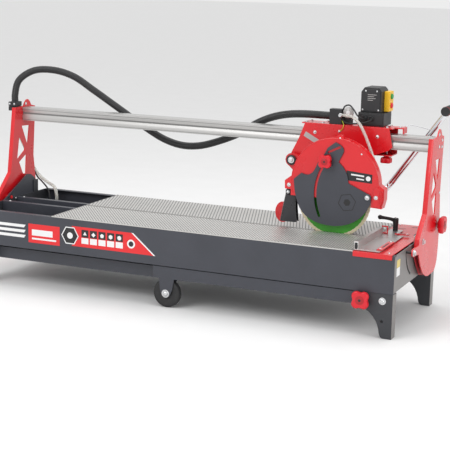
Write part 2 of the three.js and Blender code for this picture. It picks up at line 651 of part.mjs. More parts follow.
// The bridge rail: a square extrusion with a groove along its front and back faces.
function bridgeRail() {
  const low = LEFT_WEB_X + TOWER_SHEET + GAP;
  const high = RIGHT_WEB_X - GAP;
  const [f, b] = [BRIDGE_FRONT_Y, BRIDGE_BACK_Y];
  const [d, t] = [BRIDGE_BOTTOM_Z, BRIDGE_TOP_Z];
  const groove = BRIDGE_GROOVE;
  const outline = [
    [f, d], [b, d], [b, BRIDGE_MID_Z - groove], [b - groove, BRIDGE_MID_Z - groove / 2],
    [b - groove, BRIDGE_MID_Z + groove / 2], [b, BRIDGE_MID_Z + groove], [b, t], [f, t],
    [f, BRIDGE_MID_Z + 2 * groove], [f + 4, BRIDGE_MID_Z + groove],
    [f + 4, BRIDGE_MID_Z], [f, BRIDGE_MID_Z - groove],
  ];
  const wall = BRIDGE_GROOVE + 3;
  return cut(
    slab(outline, 'YZ', low, high),
    box([low - 1, high + 1], [f + wall, b - wall], [d + wall / 2, t - wall / 2]),
  );
}

// The clamp on the left tower's ear that the conduit starts from.
const CONDUIT_RADIUS = 13;
const LEFT_CLAMP = { x: [LEFT_WEB_X - 32, LEFT_WEB_X - GAP], y: [300, 342], z: [575, 608] };

// ---------------------------------------------------------------- carriage
function carriageFrontPlate() {
  const left = PLUNGE_X + 18;
  const top = SADDLE_TOP_Z;
  const shape = new THREE.Shape();
  shape.moveTo(CARRIAGE_LEFT + 13, top);
  shape.lineTo(left - 4, BRIDGE_BOTTOM_Z + 18);
  shape.lineTo(PLUNGE_X - 10, PLUNGE_Z + 26);
  shape.quadraticCurveTo(PLUNGE_X - 24, PLUNGE_Z - 4, PLUNGE_X - 8, PLUNGE_Z - 20);
  shape.lineTo(PLUNGE_X + 26, PLUNGE_Z - 20);
  shape.lineTo(PLUNGE_X + 90, BRIDGE_BOTTOM_Z - 26);
  shape.lineTo(CARRIAGE_RIGHT - 58, BRIDGE_BOTTOM_Z - 22);
  shape.lineTo(CARRIAGE_RIGHT - 9, BRIDGE_BOTTOM_Z - 4);
  shape.lineTo(CARRIAGE_RIGHT + 3, BRIDGE_BOTTOM_Z + 8);
  shape.lineTo(CARRIAGE_RIGHT - 10, top);
  shape.closePath();
  const plate = slab(shape, 'XZ', PLATE_FRONT_Y, PLATE_BACK_Y - 1);
  return join(plate, rod('Y', PLUNGE_PIN_RADIUS, [PLUNGE_X, PLUNGE_Z], ARM_FRONT_Y - 6, PLATE_FRONT_Y + 1));
}

// Top, back and bottom of the carriage, folded round the rail, with the stop tongue on its right.
function carriageSaddle() {
  const x = [CARRIAGE_LEFT, CARRIAGE_RIGHT];
  const backInner = SADDLE_BACK_Y - CARRIAGE_PLATE;
  const bottom = BRIDGE_BOTTOM_Z - 23;
  const tongue = [CARRIAGE_RIGHT - 1, CARRIAGE_RIGHT + 30];
  const lock = [CARRIAGE_RIGHT - 25, BRIDGE_MID_Y];
  return cut(
    join(
      box(x, [PLATE_BACK_Y, SADDLE_BACK_Y], [SADDLE_BOTTOM_Z, SADDLE_TOP_Z]),
      box(x, [backInner, SADDLE_BACK_Y], [bottom, SADDLE_TOP_Z]),
      box(x, [PLATE_BACK_Y + 2, SADDLE_BACK_Y], [bottom, bottom + CARRIAGE_PLATE]),
      box(tongue, [BRIDGE_MID_Y, SADDLE_BACK_Y], [SADDLE_BOTTOM_Z, SADDLE_TOP_Z]),
      box([tongue[1] - CARRIAGE_PLATE, tongue[1]], [BRIDGE_MID_Y, SADDLE_BACK_Y],
        [BRIDGE_TOP_Z + 2, SADDLE_TOP_Z]),
    ),
    rod('Z', STUD_RADIUS + 1, lock, bottom - 1, bottom + CARRIAGE_PLATE + 1, 12),
  );
}

// A roller about Y round its own centre, with its axle stubs.
function roller() {
  const half = ROLLER_LENGTH / 2;
  const stub = half + 6;
  return join(rod('Y', ROLLER_RADIUS, [0, 0], -half, half, 20), rod('Y', 3, [0, 0], -stub, stub, 10));
}

const SWITCH_LEFT = -244;
const SWITCH_FRONT_Y = 352;
const SWITCH_BASE_Z = SADDLE_TOP_Z + GAP;
const SWITCH_RIGHT = SWITCH_LEFT + SWITCH_WIDTH;

// The switch box: a wider base with two cable glands and a chamfered upper body.
function switchBox() {
  const mid = SWITCH_BASE_Z + SWITCH_BASE_HEIGHT;
  const top = mid + SWITCH_HEIGHT;
  const [l, r] = [SWITCH_LEFT, SWITCH_RIGHT];
  const outline = [[l, mid - 1], [r, mid - 1], [r, top - 9], [r - 9, top], [l + 11, top], [l, top - 14]];
  const glands = [22, 42].map((offset) => rod(
    'Y', 6, [l + offset, SWITCH_BASE_Z + 26], SWITCH_FRONT_Y - 8, SWITCH_FRONT_Y + 1, 10));
  return join(
    box([l - 6, r + 12], [SWITCH_FRONT_Y, SWITCH_FRONT_Y + SWITCH_DEPTH + 6], [SWITCH_BASE_Z, mid]),
    slab(outline, 'XZ', SWITCH_FRONT_Y, SWITCH_FRONT_Y + SWITCH_DEPTH),
    ...glands,
  );
}

const SWITCH_PANEL = { thickness: 18, y: [388, 432], z: [655, 721] };
const BUTTON_Y = (SWITCH_PANEL.y[0] + SWITCH_PANEL.y[1]) / 2;
const BUTTONS = { start_button: SWITCH_PANEL.z[1] - 17, stop_button: SWITCH_PANEL.z[0] + 19 };
const PANEL_LEFT = SWITCH_RIGHT + GAP;
const PANEL_RIGHT = PANEL_LEFT + SWITCH_PANEL.thickness;
const BUTTON_DEPTH = 6 + BUTTON_TRAVEL;

function switchPanel() {
  const pockets = Object.values(BUTTONS).map((z) => rod(
    'X', BUTTON_RADIUS + RUNNING_CLEARANCE, [BUTTON_Y, z], PANEL_RIGHT - BUTTON_DEPTH - 1, PANEL_RIGHT + 1, 20));
  return cut(box([PANEL_LEFT, PANEL_RIGHT], SWITCH_PANEL.y, SWITCH_PANEL.z), ...pockets);
}

function button(z) {
  const inner = PANEL_RIGHT - BUTTON_DEPTH + BUTTON_TRAVEL;
  return rod('X', BUTTON_RADIUS, [BUTTON_Y, z], inner, PANEL_RIGHT + BUTTON_TRAVEL + 2, 20);
}

// The block that ends the conduit on the carriage, with the water valve's body beside it.
const BLOCK = { x: [-344, -302], y: [336, 364], height: 50 };
const VALVE = { x: -283, z: 648, radius: 18, thickness: 9 };

function conduitBlock() {
  const bottom = SADDLE_TOP_Z + GAP;
  const valveBack = BLOCK.y[1] + 8;
  return join(
    box(BLOCK.x, BLOCK.y, [bottom, bottom + BLOCK.height]),
    box([BLOCK.x[1] - 1, VALVE.x + 10], [BLOCK.y[1] - 10, valveBack], [bottom, VALVE.z + 10]),
  );
}

function valveKnob() {
  const back = BLOCK.y[1] - 10 - GAP;
  return rod('Y', VALVE.radius, [VALVE.x, VALVE.z], back - VALVE.thickness, back, 24);
}

// ---------------------------------------------------------------- cutting head
const BLADE_CENTRE = [BLADE_X, BLADE_Z];
const STUB = { x: BLADE_X + 113, z: BLADE_Z + 12, y: 430 };

// The cast arm: from the plunge pivot to a ring round the motor and on to the handle's socket.
function headArm() {
  const y = [ARM_FRONT_Y, ARM_BACK_Y];
  const pivot = [PLUNGE_X, PLUNGE_Z];
  const ringRadius = MOTOR_RADIUS + 14;
  const strap = [
    [PLUNGE_X - 14, PLUNGE_Z - 16], [BLADE_X - 50, BLADE_Z - 50], [BLADE_X + 30, BLADE_Z + 68],
    [PLUNGE_X + 10, PLUNGE_Z + 20],
  ];
  const socket = [
    [BLADE_X + 40, BLADE_Z - 40], [STUB.x, STUB.z - 19],
    [STUB.x, STUB.z + 19], [BLADE_X + 40, BLADE_Z + 52],
  ];
  return cut(
    join(
      slab(strap, 'XZ', ...y),
      slab(disc(pivot, 23), 'XZ', ...y),
      slab(disc(BLADE_CENTRE, ringRadius), 'XZ', ...y),
      slab(socket, 'XZ', ...y), slab(disc([STUB.x, STUB.z], 19), 'XZ', ...y),
    ),
    rod('Y', PLUNGE_PIN_RADIUS + RUNNING_CLEARANCE, pivot, y[0] - 1, y[1] + 1),
    rod('Y', MOTOR_RADIUS + GAP, BLADE_CENTRE, y[0] - 1, y[1] + 1, 32),
  );
}

// The motor's casing: a closed cup with a bore for the shaft in front and cooling slots behind.
function motorHousing() {
  const back = MOTOR_FRONT_Y + MOTOR_LENGTH;
  const slots = [-36, -18, 0, 18, 36].map((offset) => box(
    [BLADE_X + offset - 4, BLADE_X + offset + 4], [back - MOTOR_WALL - 1, back + 1],
    [BLADE_Z - 34, BLADE_Z + 34]));
  return cut(
    rod('Y', MOTOR_RADIUS, BLADE_CENTRE, MOTOR_FRONT_Y, back, 32),
    rod('Y', MOTOR_RADIUS - MOTOR_WALL, BLADE_CENTRE, MOTOR_FRONT_Y + MOTOR_WALL, back - MOTOR_WALL, 32),
    rod('Y', SHAFT_RADIUS + 1, BLADE_CENTRE, MOTOR_FRONT_Y - 1, MOTOR_FRONT_Y + MOTOR_WALL + 1, 20),
    ...slots,
  );
}

const SHAFT_RADIUS = 11;

// Arbor, inner blade flange, rotor and cooling fan turn as one piece.
function arborShaft() {
  const rotor = [MOTOR_FRONT_Y + 45, MOTOR_FRONT_Y + 115];
  const fan = [MOTOR_FRONT_Y + 130, MOTOR_FRONT_Y + 138];
  const flangeBack = BLADE_BACK_Y + GAP + 7;
  return join(
    rod('Y', BLADE_BORE - GAP, BLADE_CENTRE, BLADE_FRONT_Y - 4, BLADE_BACK_Y + 1, 20),
    rod('Y', FLANGE_RADIUS, BLADE_CENTRE, BLADE_BACK_Y + GAP, flangeBack, 24),
    rod('Y', SHAFT_RADIUS, BLADE_CENTRE, flangeBack - 1, fan[1] + 4, 20),
    rod('Y', MOTOR_RADIUS * 0.6, BLADE_CENTRE, ...rotor, 20),
    rod('Y', MOTOR_RADIUS * 0.82, BLADE_CENTRE, ...fan, 20),
  );
}

// Outer flange and arbor nut, a cap over the arbor's end.
function arborNut() {
  const back = BLADE_FRONT_Y - GAP;
  return cut(
    join(
      rod('Y', FLANGE_RADIUS, BLADE_CENTRE, back - 4, back, 24),
      rod('Y', 14, BLADE_CENTRE, back - 9, back - 3, 6),
    ),
    rod('Y', BLADE_BORE + GAP, BLADE_CENTRE, back - 5, back + 1, 20),
  );
}

function blade() {
  return cut(
    rod('Y', BLADE_RADIUS, BLADE_CENTRE, BLADE_FRONT_Y, BLADE_BACK_Y, 72),
    rod('Y', BLADE_BORE, BLADE_CENTRE, BLADE_FRONT_Y - 1, BLADE_BACK_Y + 1, 20),
  );
}

// Upper half of the guard circle down to its lower edge.
function guardOutline(inset, bottom) {
  const r = GUARD_RADIUS - inset;
  const shape = new THREE.Shape();
  shape.moveTo(GUARD_X + r, bottom);
  shape.lineTo(GUARD_X + r, GUARD_Z);
  shape.absarc(GUARD_X, GUARD_Z, r, 0, Math.PI, false);
  shape.lineTo(GUARD_X - r, bottom);
  shape.closePath();
  return shape;
}

function bladeGuard() {
  const bottom = BLADE_Z + 4;
  const y = [GUARD_FRONT_Y, GUARD_BACK_Y];
  const inner = [GUARD_FRONT_Y + GUARD_WALL, GUARD_BACK_Y - GUARD_WALL];
  const shell = cut(
    slab(guardOutline(0, bottom), 'XZ', ...y, 28),
    slab(guardOutline(GUARD_WALL, bottom - 5), 'XZ', ...inner, 28),
    rod('Y', FLANGE_RADIUS + 4, BLADE_CENTRE, inner[1] - 1, y[1] + 1, 24),
  );
  const rightLug = [
    [BLADE_X + 130, bottom + 46], [BLADE_X + 130, BLADE_Z - 12], [BLADE_X + 166, BLADE_Z - 14],
    [BLADE_X + 173, BLADE_Z + 14], [BLADE_X + 173, BLADE_Z + 50], [BLADE_X + 154, BLADE_Z + 62],
  ];
  const leftLug = [
    [BLADE_X - 144, BLADE_Z + 24], [BLADE_X - 167, BLADE_Z + 24], [BLADE_X - 168, BLADE_Z + 52],
    [BLADE_X - 144, BLADE_Z + 70],
  ];
  const topLug = slab(disc([GUARD_X + 14, GUARD_Z + GUARD_RADIUS], 12), 'XZ', y[0], y[0] + 14);
  const knobHole = rod('Y', STUD_RADIUS + 1, GUARD_KNOB, y[0] - 1, inner[0] + 1, 12);
  const hingePin = rod('Y', 4, COVER_HINGE, COVER_FRONT_Y - 3, y[0] + 1, 12);
  const outside = join(shell, slab(rightLug, 'XZ', ...y), slab(leftLug, 'XZ', ...y), topLug);
  return join(cut(outside, knobHole), hingePin);
}

// Side cover over the blade: a flat plate with a hook at its top and a slot round its hinge.
function sideCover() {
  const [x, z] = BLADE_CENTRE;
  const shape = new THREE.Shape();
  shape.moveTo(x - 21, z + 171);
  shape.lineTo(x + 5, z + 191);
  shape.quadraticCurveTo(x + 40, z + 178, x + 32, z + 158);
  shape.lineTo(x + 17, z + 127);
  shape.quadraticCurveTo(x + 50, z + 104, x + 53, z + 61);
  shape.lineTo(x + 115, z + 34);
  shape.quadraticCurveTo(x + 136, z + 24, x + 129, z);
  shape.quadraticCurveTo(x + 100, z - 76, x + 10, z - 84);
  shape.quadraticCurveTo(x - 80, z - 86, x - 112, z - 34);
  shape.quadraticCurveTo(x - 132, z + 4, x - 135, z + 60);
  shape.lineTo(x - 109, z + 82);
  shape.quadraticCurveTo(x - 76, z + 66, x - 60, z + 104);
  shape.lineTo(x - 52, z + 122);
  shape.lineTo(x - 44, z + 106);
  shape.lineTo(x - 14, z + 108);
  shape.quadraticCurveTo(x - 2, z + 122, x - 9, z + 141);
  shape.lineTo(x - 12, z + 152);
  shape.lineTo(x - 35, z + 144);
  shape.closePath();
  const reach = Math.hypot(GUARD_KNOB[0] - COVER_HINGE[0], GUARD_KNOB[1] - COVER_HINGE[1]);
  const start = THREE.MathUtils.radToDeg(
    Math.atan2(GUARD_KNOB[1] - COVER_HINGE[1], GUARD_KNOB[0] - COVER_HINGE[0]));
  const hookSlot = [[x - 19, z + 153], [x - 22, z + 159], [x + 20, z + 180], [x + 25, z + 174]];
  const low = COVER_FRONT_Y;
  const high = COVER_BACK_Y;
  return cut(
    slab(shape, 'XZ', low, high, 7),
    slab(hookSlot, 'XZ', low - 1, high + 1),
    arcSlot('XZ', COVER_HINGE, reach, COVER_SLOT_WIDTH + 1, start, start + 62, low - 1, high + 1),
    rod('Y', 4 + RUNNING_CLEARANCE, COVER_HINGE, low - 1, high + 1, 12),
  );
}

function splashSkirt() {
  const top = BLADE_Z + 24 - GAP;
  const bottom = TABLE_TOP + 22;
  const x = BLADE_X;
  const guardEdge = GUARD_X - GUARD_RADIUS - GAP;
  const outline = [
    [guardEdge, top], [x - 167, top], [x - 175, (top + bottom) / 2], [x - 188, bottom], [x - 118, bottom],
    [x - 131, BLADE_Z + 4 - GAP], [guardEdge, BLADE_Z + 4 - GAP],
  ];
  return slab(outline, 'XZ', CUT_LINE_Y - 15, CUT_LINE_Y + 15);
}

// The handle's tube: a stub back from the arm, a bend, then a straight run up past the bridge.
const GRIP = { x: 33, z: 668 };

function handleCurve() {
  const bend = 40;
  const corner = new THREE.Vector3(STUB.x, STUB.y, STUB.z);
  const grip = new THREE.Vector3(GRIP.x, STUB.y, GRIP.z);
  const rise = grip.clone().sub(corner).normalize();
  const end = grip.clone().addScaledVector(rise, -GRIP_RADIUS - GAP);
  const path = new THREE.CurvePath();
  const start = new THREE.Vector3(STUB.x, ARM_BACK_Y + GAP, STUB.z);
  const bendStart = new THREE.Vector3(STUB.x, STUB.y - bend, STUB.z);
  const bendEnd = corner.clone().addScaledVector(rise, bend);
  const points = [start, start.clone().lerp(bendStart, 0.5), bendStart];
  const turn = new THREE.QuadraticBezierCurve3(bendStart, corner, bendEnd);
  points.push(...turn.getPoints(5).slice(1), bendEnd.clone().lerp(end, 0.5), end);
  for (let i = 1; i < points.length; i += 1) {
    path.add(new THREE.LineCurve3(points[i - 1], points[i]));
  }
  return path;
}

function handleTube() {
  return tube(handleCurve(), HANDLE_TUBE_RADIUS, 14, 18);
}

function handleGrip() {
  const front = STUB.y - 45;
  return rod('Y', GRIP_RADIUS, [GRIP.x, GRIP.z], front, front + GRIP_LENGTH, 20);
}

// ---------------------------------------------------------------- fence
const FENCE_BOTTOM = TABLE_TOP + RUNNING_CLEARANCE;
const FENCE_LEFT = TABLE_RIGHT + GAP;
const CLAMP = [FENCE_LEFT + 34, FENCE_FRONT_Y + FENCE_LENGTH + 75];

function fence() {
  const y = [FENCE_FRONT_Y, FENCE_FRONT_Y + FENCE_LENGTH];
  const baseLeft = FENCE_LEFT + FENCE_THICKNESS - 1;
  const baseTop = FENCE_BOTTOM + FENCE_BASE_THICKNESS;
  return join(
    box([FENCE_LEFT, FENCE_LEFT + FENCE_THICKNESS], y, [FENCE_BOTTOM, FENCE_BOTTOM + FENCE_HEIGHT]),
    box([baseLeft, baseLeft + FENCE_BASE_WIDTH], y, [FENCE_BOTTOM, baseTop]),
    box([baseLeft, CLAMP[0] + 22], [y[1] - 1, CLAMP[1] + 18], [FENCE_BOTTOM, baseTop]),
  );
}

function fenceLever() {
  const bottom = FENCE_BOTTOM + FENCE_BASE_THICKNESS + GAP;
  const top = bottom + CLAMP_POST_HEIGHT;
  const tip = [CLAMP[0] - CLAMP_ARM_LENGTH, top + 2];
  const arm = [
    [CLAMP[0] + 6, top], [CLAMP[0] - 14, top + 4], [tip[0], tip[1] + 5], [tip[0], tip[1] - 5],
    [CLAMP[0] - 16, top - 7], [CLAMP[0] + 4, top - 14],
  ].reverse();
  return join(
    rod('Z', CLAMP_POST_RADIUS, CLAMP, bottom, top, 14),
    slab(arm, 'XZ', CLAMP[1] - 5, CLAMP[1] + 5),
    slab(disc(tip, 7), 'XZ', CLAMP[1] - 6, CLAMP[1] + 6),
  );
}

// ---------------------------------------------------------------- cords, routed by hand
const CONDUIT_ROUTE = [
  [-1566, 321, 608.4], [-1566, 321, 632], [-1557, 334, 684], [-1514, 366, 720], [-1448, 396, 724],
  [-1375, 416, 704], [-1290, 424, 655], [-1200, 428, 602], [-1087, 428, 538], [-1000, 428, 496], [-930, 428, 480],
  [-860, 428, 484], [-775, 428, 510], [-700, 426, 543], [-640, 422, 580], [-580, 408, 606], [-510, 384, 624],
  [-430, 356, 633], [-372, 350, 634], [-344.4, 350, 634],
];
const HEAD_HOSE_ROUTE = [
  [-300, 335, 640], [-280, 322, 641], [-252, 310, 638], [-226, 300, 618], [-206, 292, 590], [-188, 286, 556],
  [-170, 282, 515], [-152, 278, 474], [-142, 270, 446], [-139, 260, 437], [-139, 245.9, 436],
];
const PUMP_HOSE_ROUTE = [
  [-1574, 321, 574.6], [-1574, 322, 555], [-1574, 345, 500], [-1574, 392, 430], [-1572, 432, 370],
  [-1562, 452, 330], [-1540, 456, 306], [-1505, 448, 290], [-1465, 428, 278], [-1450, 417, 250], [-1450, 417, 221],
];
const PUMP_CABLE_ROUTE = [
  [-1560, 310, 574.6], [-1560, 311, 560], [-1560, 326, 515], [-1560, 360, 450], [-1560, 402, 385],
  [-1558, 430, 340], [-1548, 438, 312], [-1518, 428, 294], [-1482, 408, 272], [-1470, 402, 240], [-1470, 402, 208],
];

// ---------------------------------------------------------------- assembly
function buildFrame() {
  addPart('frame', 'front_side_panel', sidePanel(0, 1), SLATE);
  addPart('frame', 'back_side_panel', sidePanel(FRAME_DEPTH, -1), SLATE);
  addPart('frame', 'right_end_panel', endPanel(-SHEET, 0), PALE_GREY);
  addPart('frame', 'left_end_panel', endPanel(-FRAME_LENGTH, -FRAME_LENGTH + SHEET), PALE_GREY);
  addPart('frame', 'front_mid_rail', midRail(FRONT_RAIL_Y), SLATE);
  addPart('frame', 'back_mid_rail', midRail(BACK_RAIL_Y), SLATE);
  addPart('frame', 'water_tray', waterTray(), BLACK_PLASTIC);
  addPart('frame', 'front_table', table(1, SLOT_FRONT_Y), ALUMINIUM);
  addPart('frame', 'back_table', table(SLOT_BACK_Y, FRAME_DEPTH - 14), ALUMINIUM);
  addPart('frame', 'end_plate', endPlate(), RED);
  addPart('frame', 'left_tilt_bracket', leftTiltBracket(), SLATE);
  addPart('frame', 'water_pump', waterPump(), BLACK_PLASTIC);
  const same = (span) => span;
  addPart('frame', 'right_front_foot', rightFoot(same), SLATE);
  addPart('frame', 'right_back_foot', rightFoot(mirrorY), SLATE);
  addPart('frame', 'left_front_foot', leftFoot(same), SLATE);
  addPart('frame', 'left_back_foot', leftFoot(mirrorY), SLATE);
}

function buildLegs() {
  addPart('right_leg', 'right_leg_frame', rightLegFrame(), SLATE);
  addPart('left_leg', 'left_leg_frame', leftLegFrame(), SLATE);
  const wheelY = (RIGHT_LEG_Y[0] + RIGHT_LEG_Y[1]) / 2;
  for (const [name, y] of [['front', wheelY], ['back', FRAME_DEPTH - wheelY]]) {
    const parts = [
      addPart('right_leg', `${name}_tyre`, tyre(), RUBBER),
      addPart('right_leg', `${name}_hub`, hub(), STEEL),
    ];
    for (const part of parts) {
      part.position.set(WHEEL_X, y, WHEEL_Z);
    }
  }
  const rightLockX = -RIGHT_PIVOT_INSET - LOCK_REACH;
  const leftLockX = -FRAME_LENGTH + LEFT_PIVOT_INSET + LOCK_REACH;
  const knobFace = 4 + KNOB_THICKNESS + 4;
  const legFront = RIGHT_LEG_Y[0] - GAP;
  const legInner = LEFT_LEG_Y[1] + GAP;
  const innerFace = legInner + SHEET + knobFace + 2;
  const d = FRAME_DEPTH;
  addKnob('frame', 'right_front_lock_knob', [rightLockX, -knobFace, RIGHT_PIVOT_Z], [0, -1, 0], legFront);
  addKnob('frame', 'right_back_lock_knob', [rightLockX, d + knobFace, RIGHT_PIVOT_Z], [0, 1, 0], d - legFront);
  addKnob('frame', 'left_front_lock_knob', [leftLockX, innerFace, LEFT_PIVOT_Z], [0, 1, 0], legInner);
  addKnob('frame', 'left_back_lock_knob', [leftLockX, d - innerFace, LEFT_PIVOT_Z], [0, -1, 0], d - legInner);
}

function buildBridge() {
  addPart('bridge', 'bridge_rail', bridgeRail(), ALUMINIUM);
  addPart('bridge', 'right_tower', tower(RIGHT_WEB_X, -SHEET - 3), RED);
  addPart('bridge', 'left_tower', tower(LEFT_WEB_X, -FRAME_LENGTH + SHEET + 3), RED);
  const reach = 4 + KNOB_THICKNESS + 3;
  const rightFace = RIGHT_WEB_X + TOWER_SHEET + reach;
  const leftFace = LEFT_WEB_X - reach;
  const leftStud = -FRAME_LENGTH - TOWER_SHEET - 3 * GAP;
  addKnob('bridge', 'right_tilt_knob', [rightFace, ...TILT_KNOB], [1, 0, 0], 2 * GAP);
  addKnob('bridge', 'left_tilt_knob', [leftFace, ...TILT_KNOB], [-1, 0, 0], leftStud);
  addPart('bridge', 'left_conduit_clamp', box(LEFT_CLAMP.x, LEFT_CLAMP.y, LEFT_CLAMP.z), BLACK_PLASTIC);
}

function buildCarriage() {
  addPart('carriage', 'carriage_front_plate', carriageFrontPlate(), RED);
  addPart('carriage', 'carriage_saddle', carriageSaddle(), RED);
  for (const [name, x] of [['left_roller', CARRIAGE_LEFT + 45], ['right_roller', CARRIAGE_RIGHT - 45]]) {
    addPart('carriage', name, roller(), STEEL).position.set(x, BRIDGE_MID_Y, BRIDGE_TOP_Z + ROLLER_RADIUS + GAP);
  }
  addPart('carriage', 'switch_box', switchBox(), BLACK_PLASTIC);
  addPart('carriage', 'switch_panel', switchPanel(), YELLOW);
  addPart('carriage', 'start_button', button(BUTTONS.start_button), GREEN);
  addPart('carriage', 'stop_button', button(BUTTONS.stop_button), RED);
  addPart('carriage', 'conduit_block', conduitBlock(), BLACK_PLASTIC);
  addPart('carriage', 'water_valve_knob', valveKnob(), PALE_GREY);
  const lockFace = BRIDGE_BOTTOM_Z - 23 - KNOB_THICKNESS - 6;
  const lockAt = [CARRIAGE_RIGHT - 25, BRIDGE_MID_Y, lockFace];
  addKnob('carriage', 'slide_lock_knob', lockAt, [0, 0, -1], BRIDGE_BOTTOM_Z - GAP, SLIDE_LOCK_RADIUS);
}

function buildHead() {
  addPart('head', 'head_arm', headArm(), RED);
  addPart('head', 'motor_housing', motorHousing(), BLACK_PLASTIC);
  addPart('head', 'blade_guard', bladeGuard(), RED);
  addPart('head', 'side_cover', sideCover(), SLATE);
  const knobFace = COVER_FRONT_Y - 2 - 4 - KNOB_THICKNESS;
  const knobAt = [GUARD_KNOB[0], knobFace, GUARD_KNOB[1]];
  addKnob('head', 'guard_knob', knobAt, [0, -1, 0], GUARD_FRONT_Y + GUARD_WALL + 3, GUARD_KNOB_RADIUS);
  addPart('head', 'splash_skirt', splashSkirt(), RUBBER);
  addPart('head', 'handle_tube', handleTube(), CHROME);
  addPart('head', 'handle_grip', handleGrip(), BLACK_PLASTIC);
  addPart('head', 'blade', blade(), GREEN);
  addPart('head', 'arbor_shaft', arborShaft(), STEEL);
  addPart('head', 'arbor_nut', arborNut(), STEEL);
}

function buildFence() {
  addPart('fence', 'fence', fence(), ALUMINIUM);
  addPart('fence', 'fence_lever', fenceLever(), BLACK_PLASTIC);
}

function buildCords() {
  addPart('cords', 'conduit', tube(curveThrough(CONDUIT_ROUTE), CONDUIT_RADIUS, 10, 36), RUBBER);
  addPart('cords', 'head_hose', tube(curveThrough(HEAD_HOSE_ROUTE), 5, 8, 14), HOSE);
  addPart('cords', 'pump_hose', tube(curveThrough(PUMP_HOSE_ROUTE), 6, 8, 18), HOSE);
  addPart('cords', 'pump_cable', tube(curveThrough(PUMP_CABLE_ROUTE), 3, 8, 12), RUBBER);
}

buildFrame();
buildLegs();
buildBridge();
buildCarriage();
buildHead();
buildFence();

// The origin goes to the middle of the footprint, on the floor, before the loose cords are added.
const footprint = new THREE.Box3().setFromObject(group, true);
const middle = footprint.getCenter(new THREE.Vector3());
group.position.set(-middle.x, -middle.y, 0);
buildCords();

export default group;
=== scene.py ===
"""Wet tile saw: the finished look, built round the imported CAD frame.

Pieces are drawn in saw millimetres: x from the frame's right end, y from its front face, z from the floor.
"""
import json
import math

import bmesh
import bpy
from mathutils import Matrix, Vector

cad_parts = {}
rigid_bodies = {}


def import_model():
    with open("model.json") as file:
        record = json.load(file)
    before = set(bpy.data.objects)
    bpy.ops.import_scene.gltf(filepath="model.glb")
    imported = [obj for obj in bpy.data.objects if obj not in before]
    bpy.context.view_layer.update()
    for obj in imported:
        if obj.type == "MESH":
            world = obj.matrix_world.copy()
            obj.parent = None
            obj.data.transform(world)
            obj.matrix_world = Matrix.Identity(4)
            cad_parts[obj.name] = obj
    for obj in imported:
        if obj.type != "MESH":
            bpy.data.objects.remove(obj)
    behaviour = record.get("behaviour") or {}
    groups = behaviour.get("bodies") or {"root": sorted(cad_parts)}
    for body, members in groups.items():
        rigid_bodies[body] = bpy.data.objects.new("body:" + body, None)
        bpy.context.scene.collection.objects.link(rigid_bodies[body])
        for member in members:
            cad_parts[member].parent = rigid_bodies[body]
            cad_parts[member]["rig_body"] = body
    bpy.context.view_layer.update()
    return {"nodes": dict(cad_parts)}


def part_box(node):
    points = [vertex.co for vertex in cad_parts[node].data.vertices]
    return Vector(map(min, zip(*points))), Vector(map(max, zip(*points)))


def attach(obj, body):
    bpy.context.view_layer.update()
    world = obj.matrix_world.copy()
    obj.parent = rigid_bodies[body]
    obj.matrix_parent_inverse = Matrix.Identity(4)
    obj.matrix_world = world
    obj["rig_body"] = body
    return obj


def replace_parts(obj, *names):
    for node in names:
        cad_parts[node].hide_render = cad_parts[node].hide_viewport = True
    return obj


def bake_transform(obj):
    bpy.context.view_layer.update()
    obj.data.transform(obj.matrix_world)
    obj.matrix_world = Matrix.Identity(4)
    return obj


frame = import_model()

scene = bpy.context.scene
MM = 0.001
RIGHT_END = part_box("front_side_panel")[1].x
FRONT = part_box("front_side_panel")[0].y
TO_ROW = Matrix.Translation((RIGHT_END, FRONT, 0)) @ Matrix.Scale(MM, 4)


def row(point):
    """A point in saw millimetres, in the row frame."""
    return TO_ROW @ Vector(point)


def cad(node):
    """The lowest and highest corners of a CAD node, in saw millimetres."""
    back = TO_ROW.inverted()
    return tuple(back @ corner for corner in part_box(node))


# ---- camera
CAMERA_AT = (1051.35, -3642.45, 1131.03)
CAMERA_YAW, CAMERA_PITCH, CAMERA_ROLL = 23.94, -11.74, 1.16
CAMERA_LENS, SENSOR = 101.68, 36.0


def add_camera():
    yaw, pitch, roll = (math.radians(a) for a in (CAMERA_YAW, CAMERA_PITCH, CAMERA_ROLL))
    forward = Vector((-math.sin(yaw) * math.cos(pitch), math.cos(yaw) * math.cos(pitch), math.sin(pitch)))
    level = Vector((math.cos(yaw), math.sin(yaw), 0))
    upright = level.cross(forward)
    right = math.cos(roll) * level + math.sin(roll) * upright
    up = math.cos(roll) * upright - math.sin(roll) * level
    data = bpy.data.cameras.new("camera")
    data.sensor_width = SENSOR
    data.lens = CAMERA_LENS
    data.clip_end = 50
    camera = bpy.data.objects.new("camera", data)
    scene.collection.objects.link(camera)
    turn = Matrix((right, up, -forward)).transposed().to_4x4()
    camera.matrix_world = Matrix.Translation(row(CAMERA_AT)) @ turn
    scene.camera = camera


add_camera()


# ---- materials
def node(tree, kind, **settings):
    made = tree.nodes.new(kind)
    for key, value in settings.items():
        if key in made.inputs:
            made.inputs[key].default_value = value
        else:
            setattr(made, key, value)
    return made


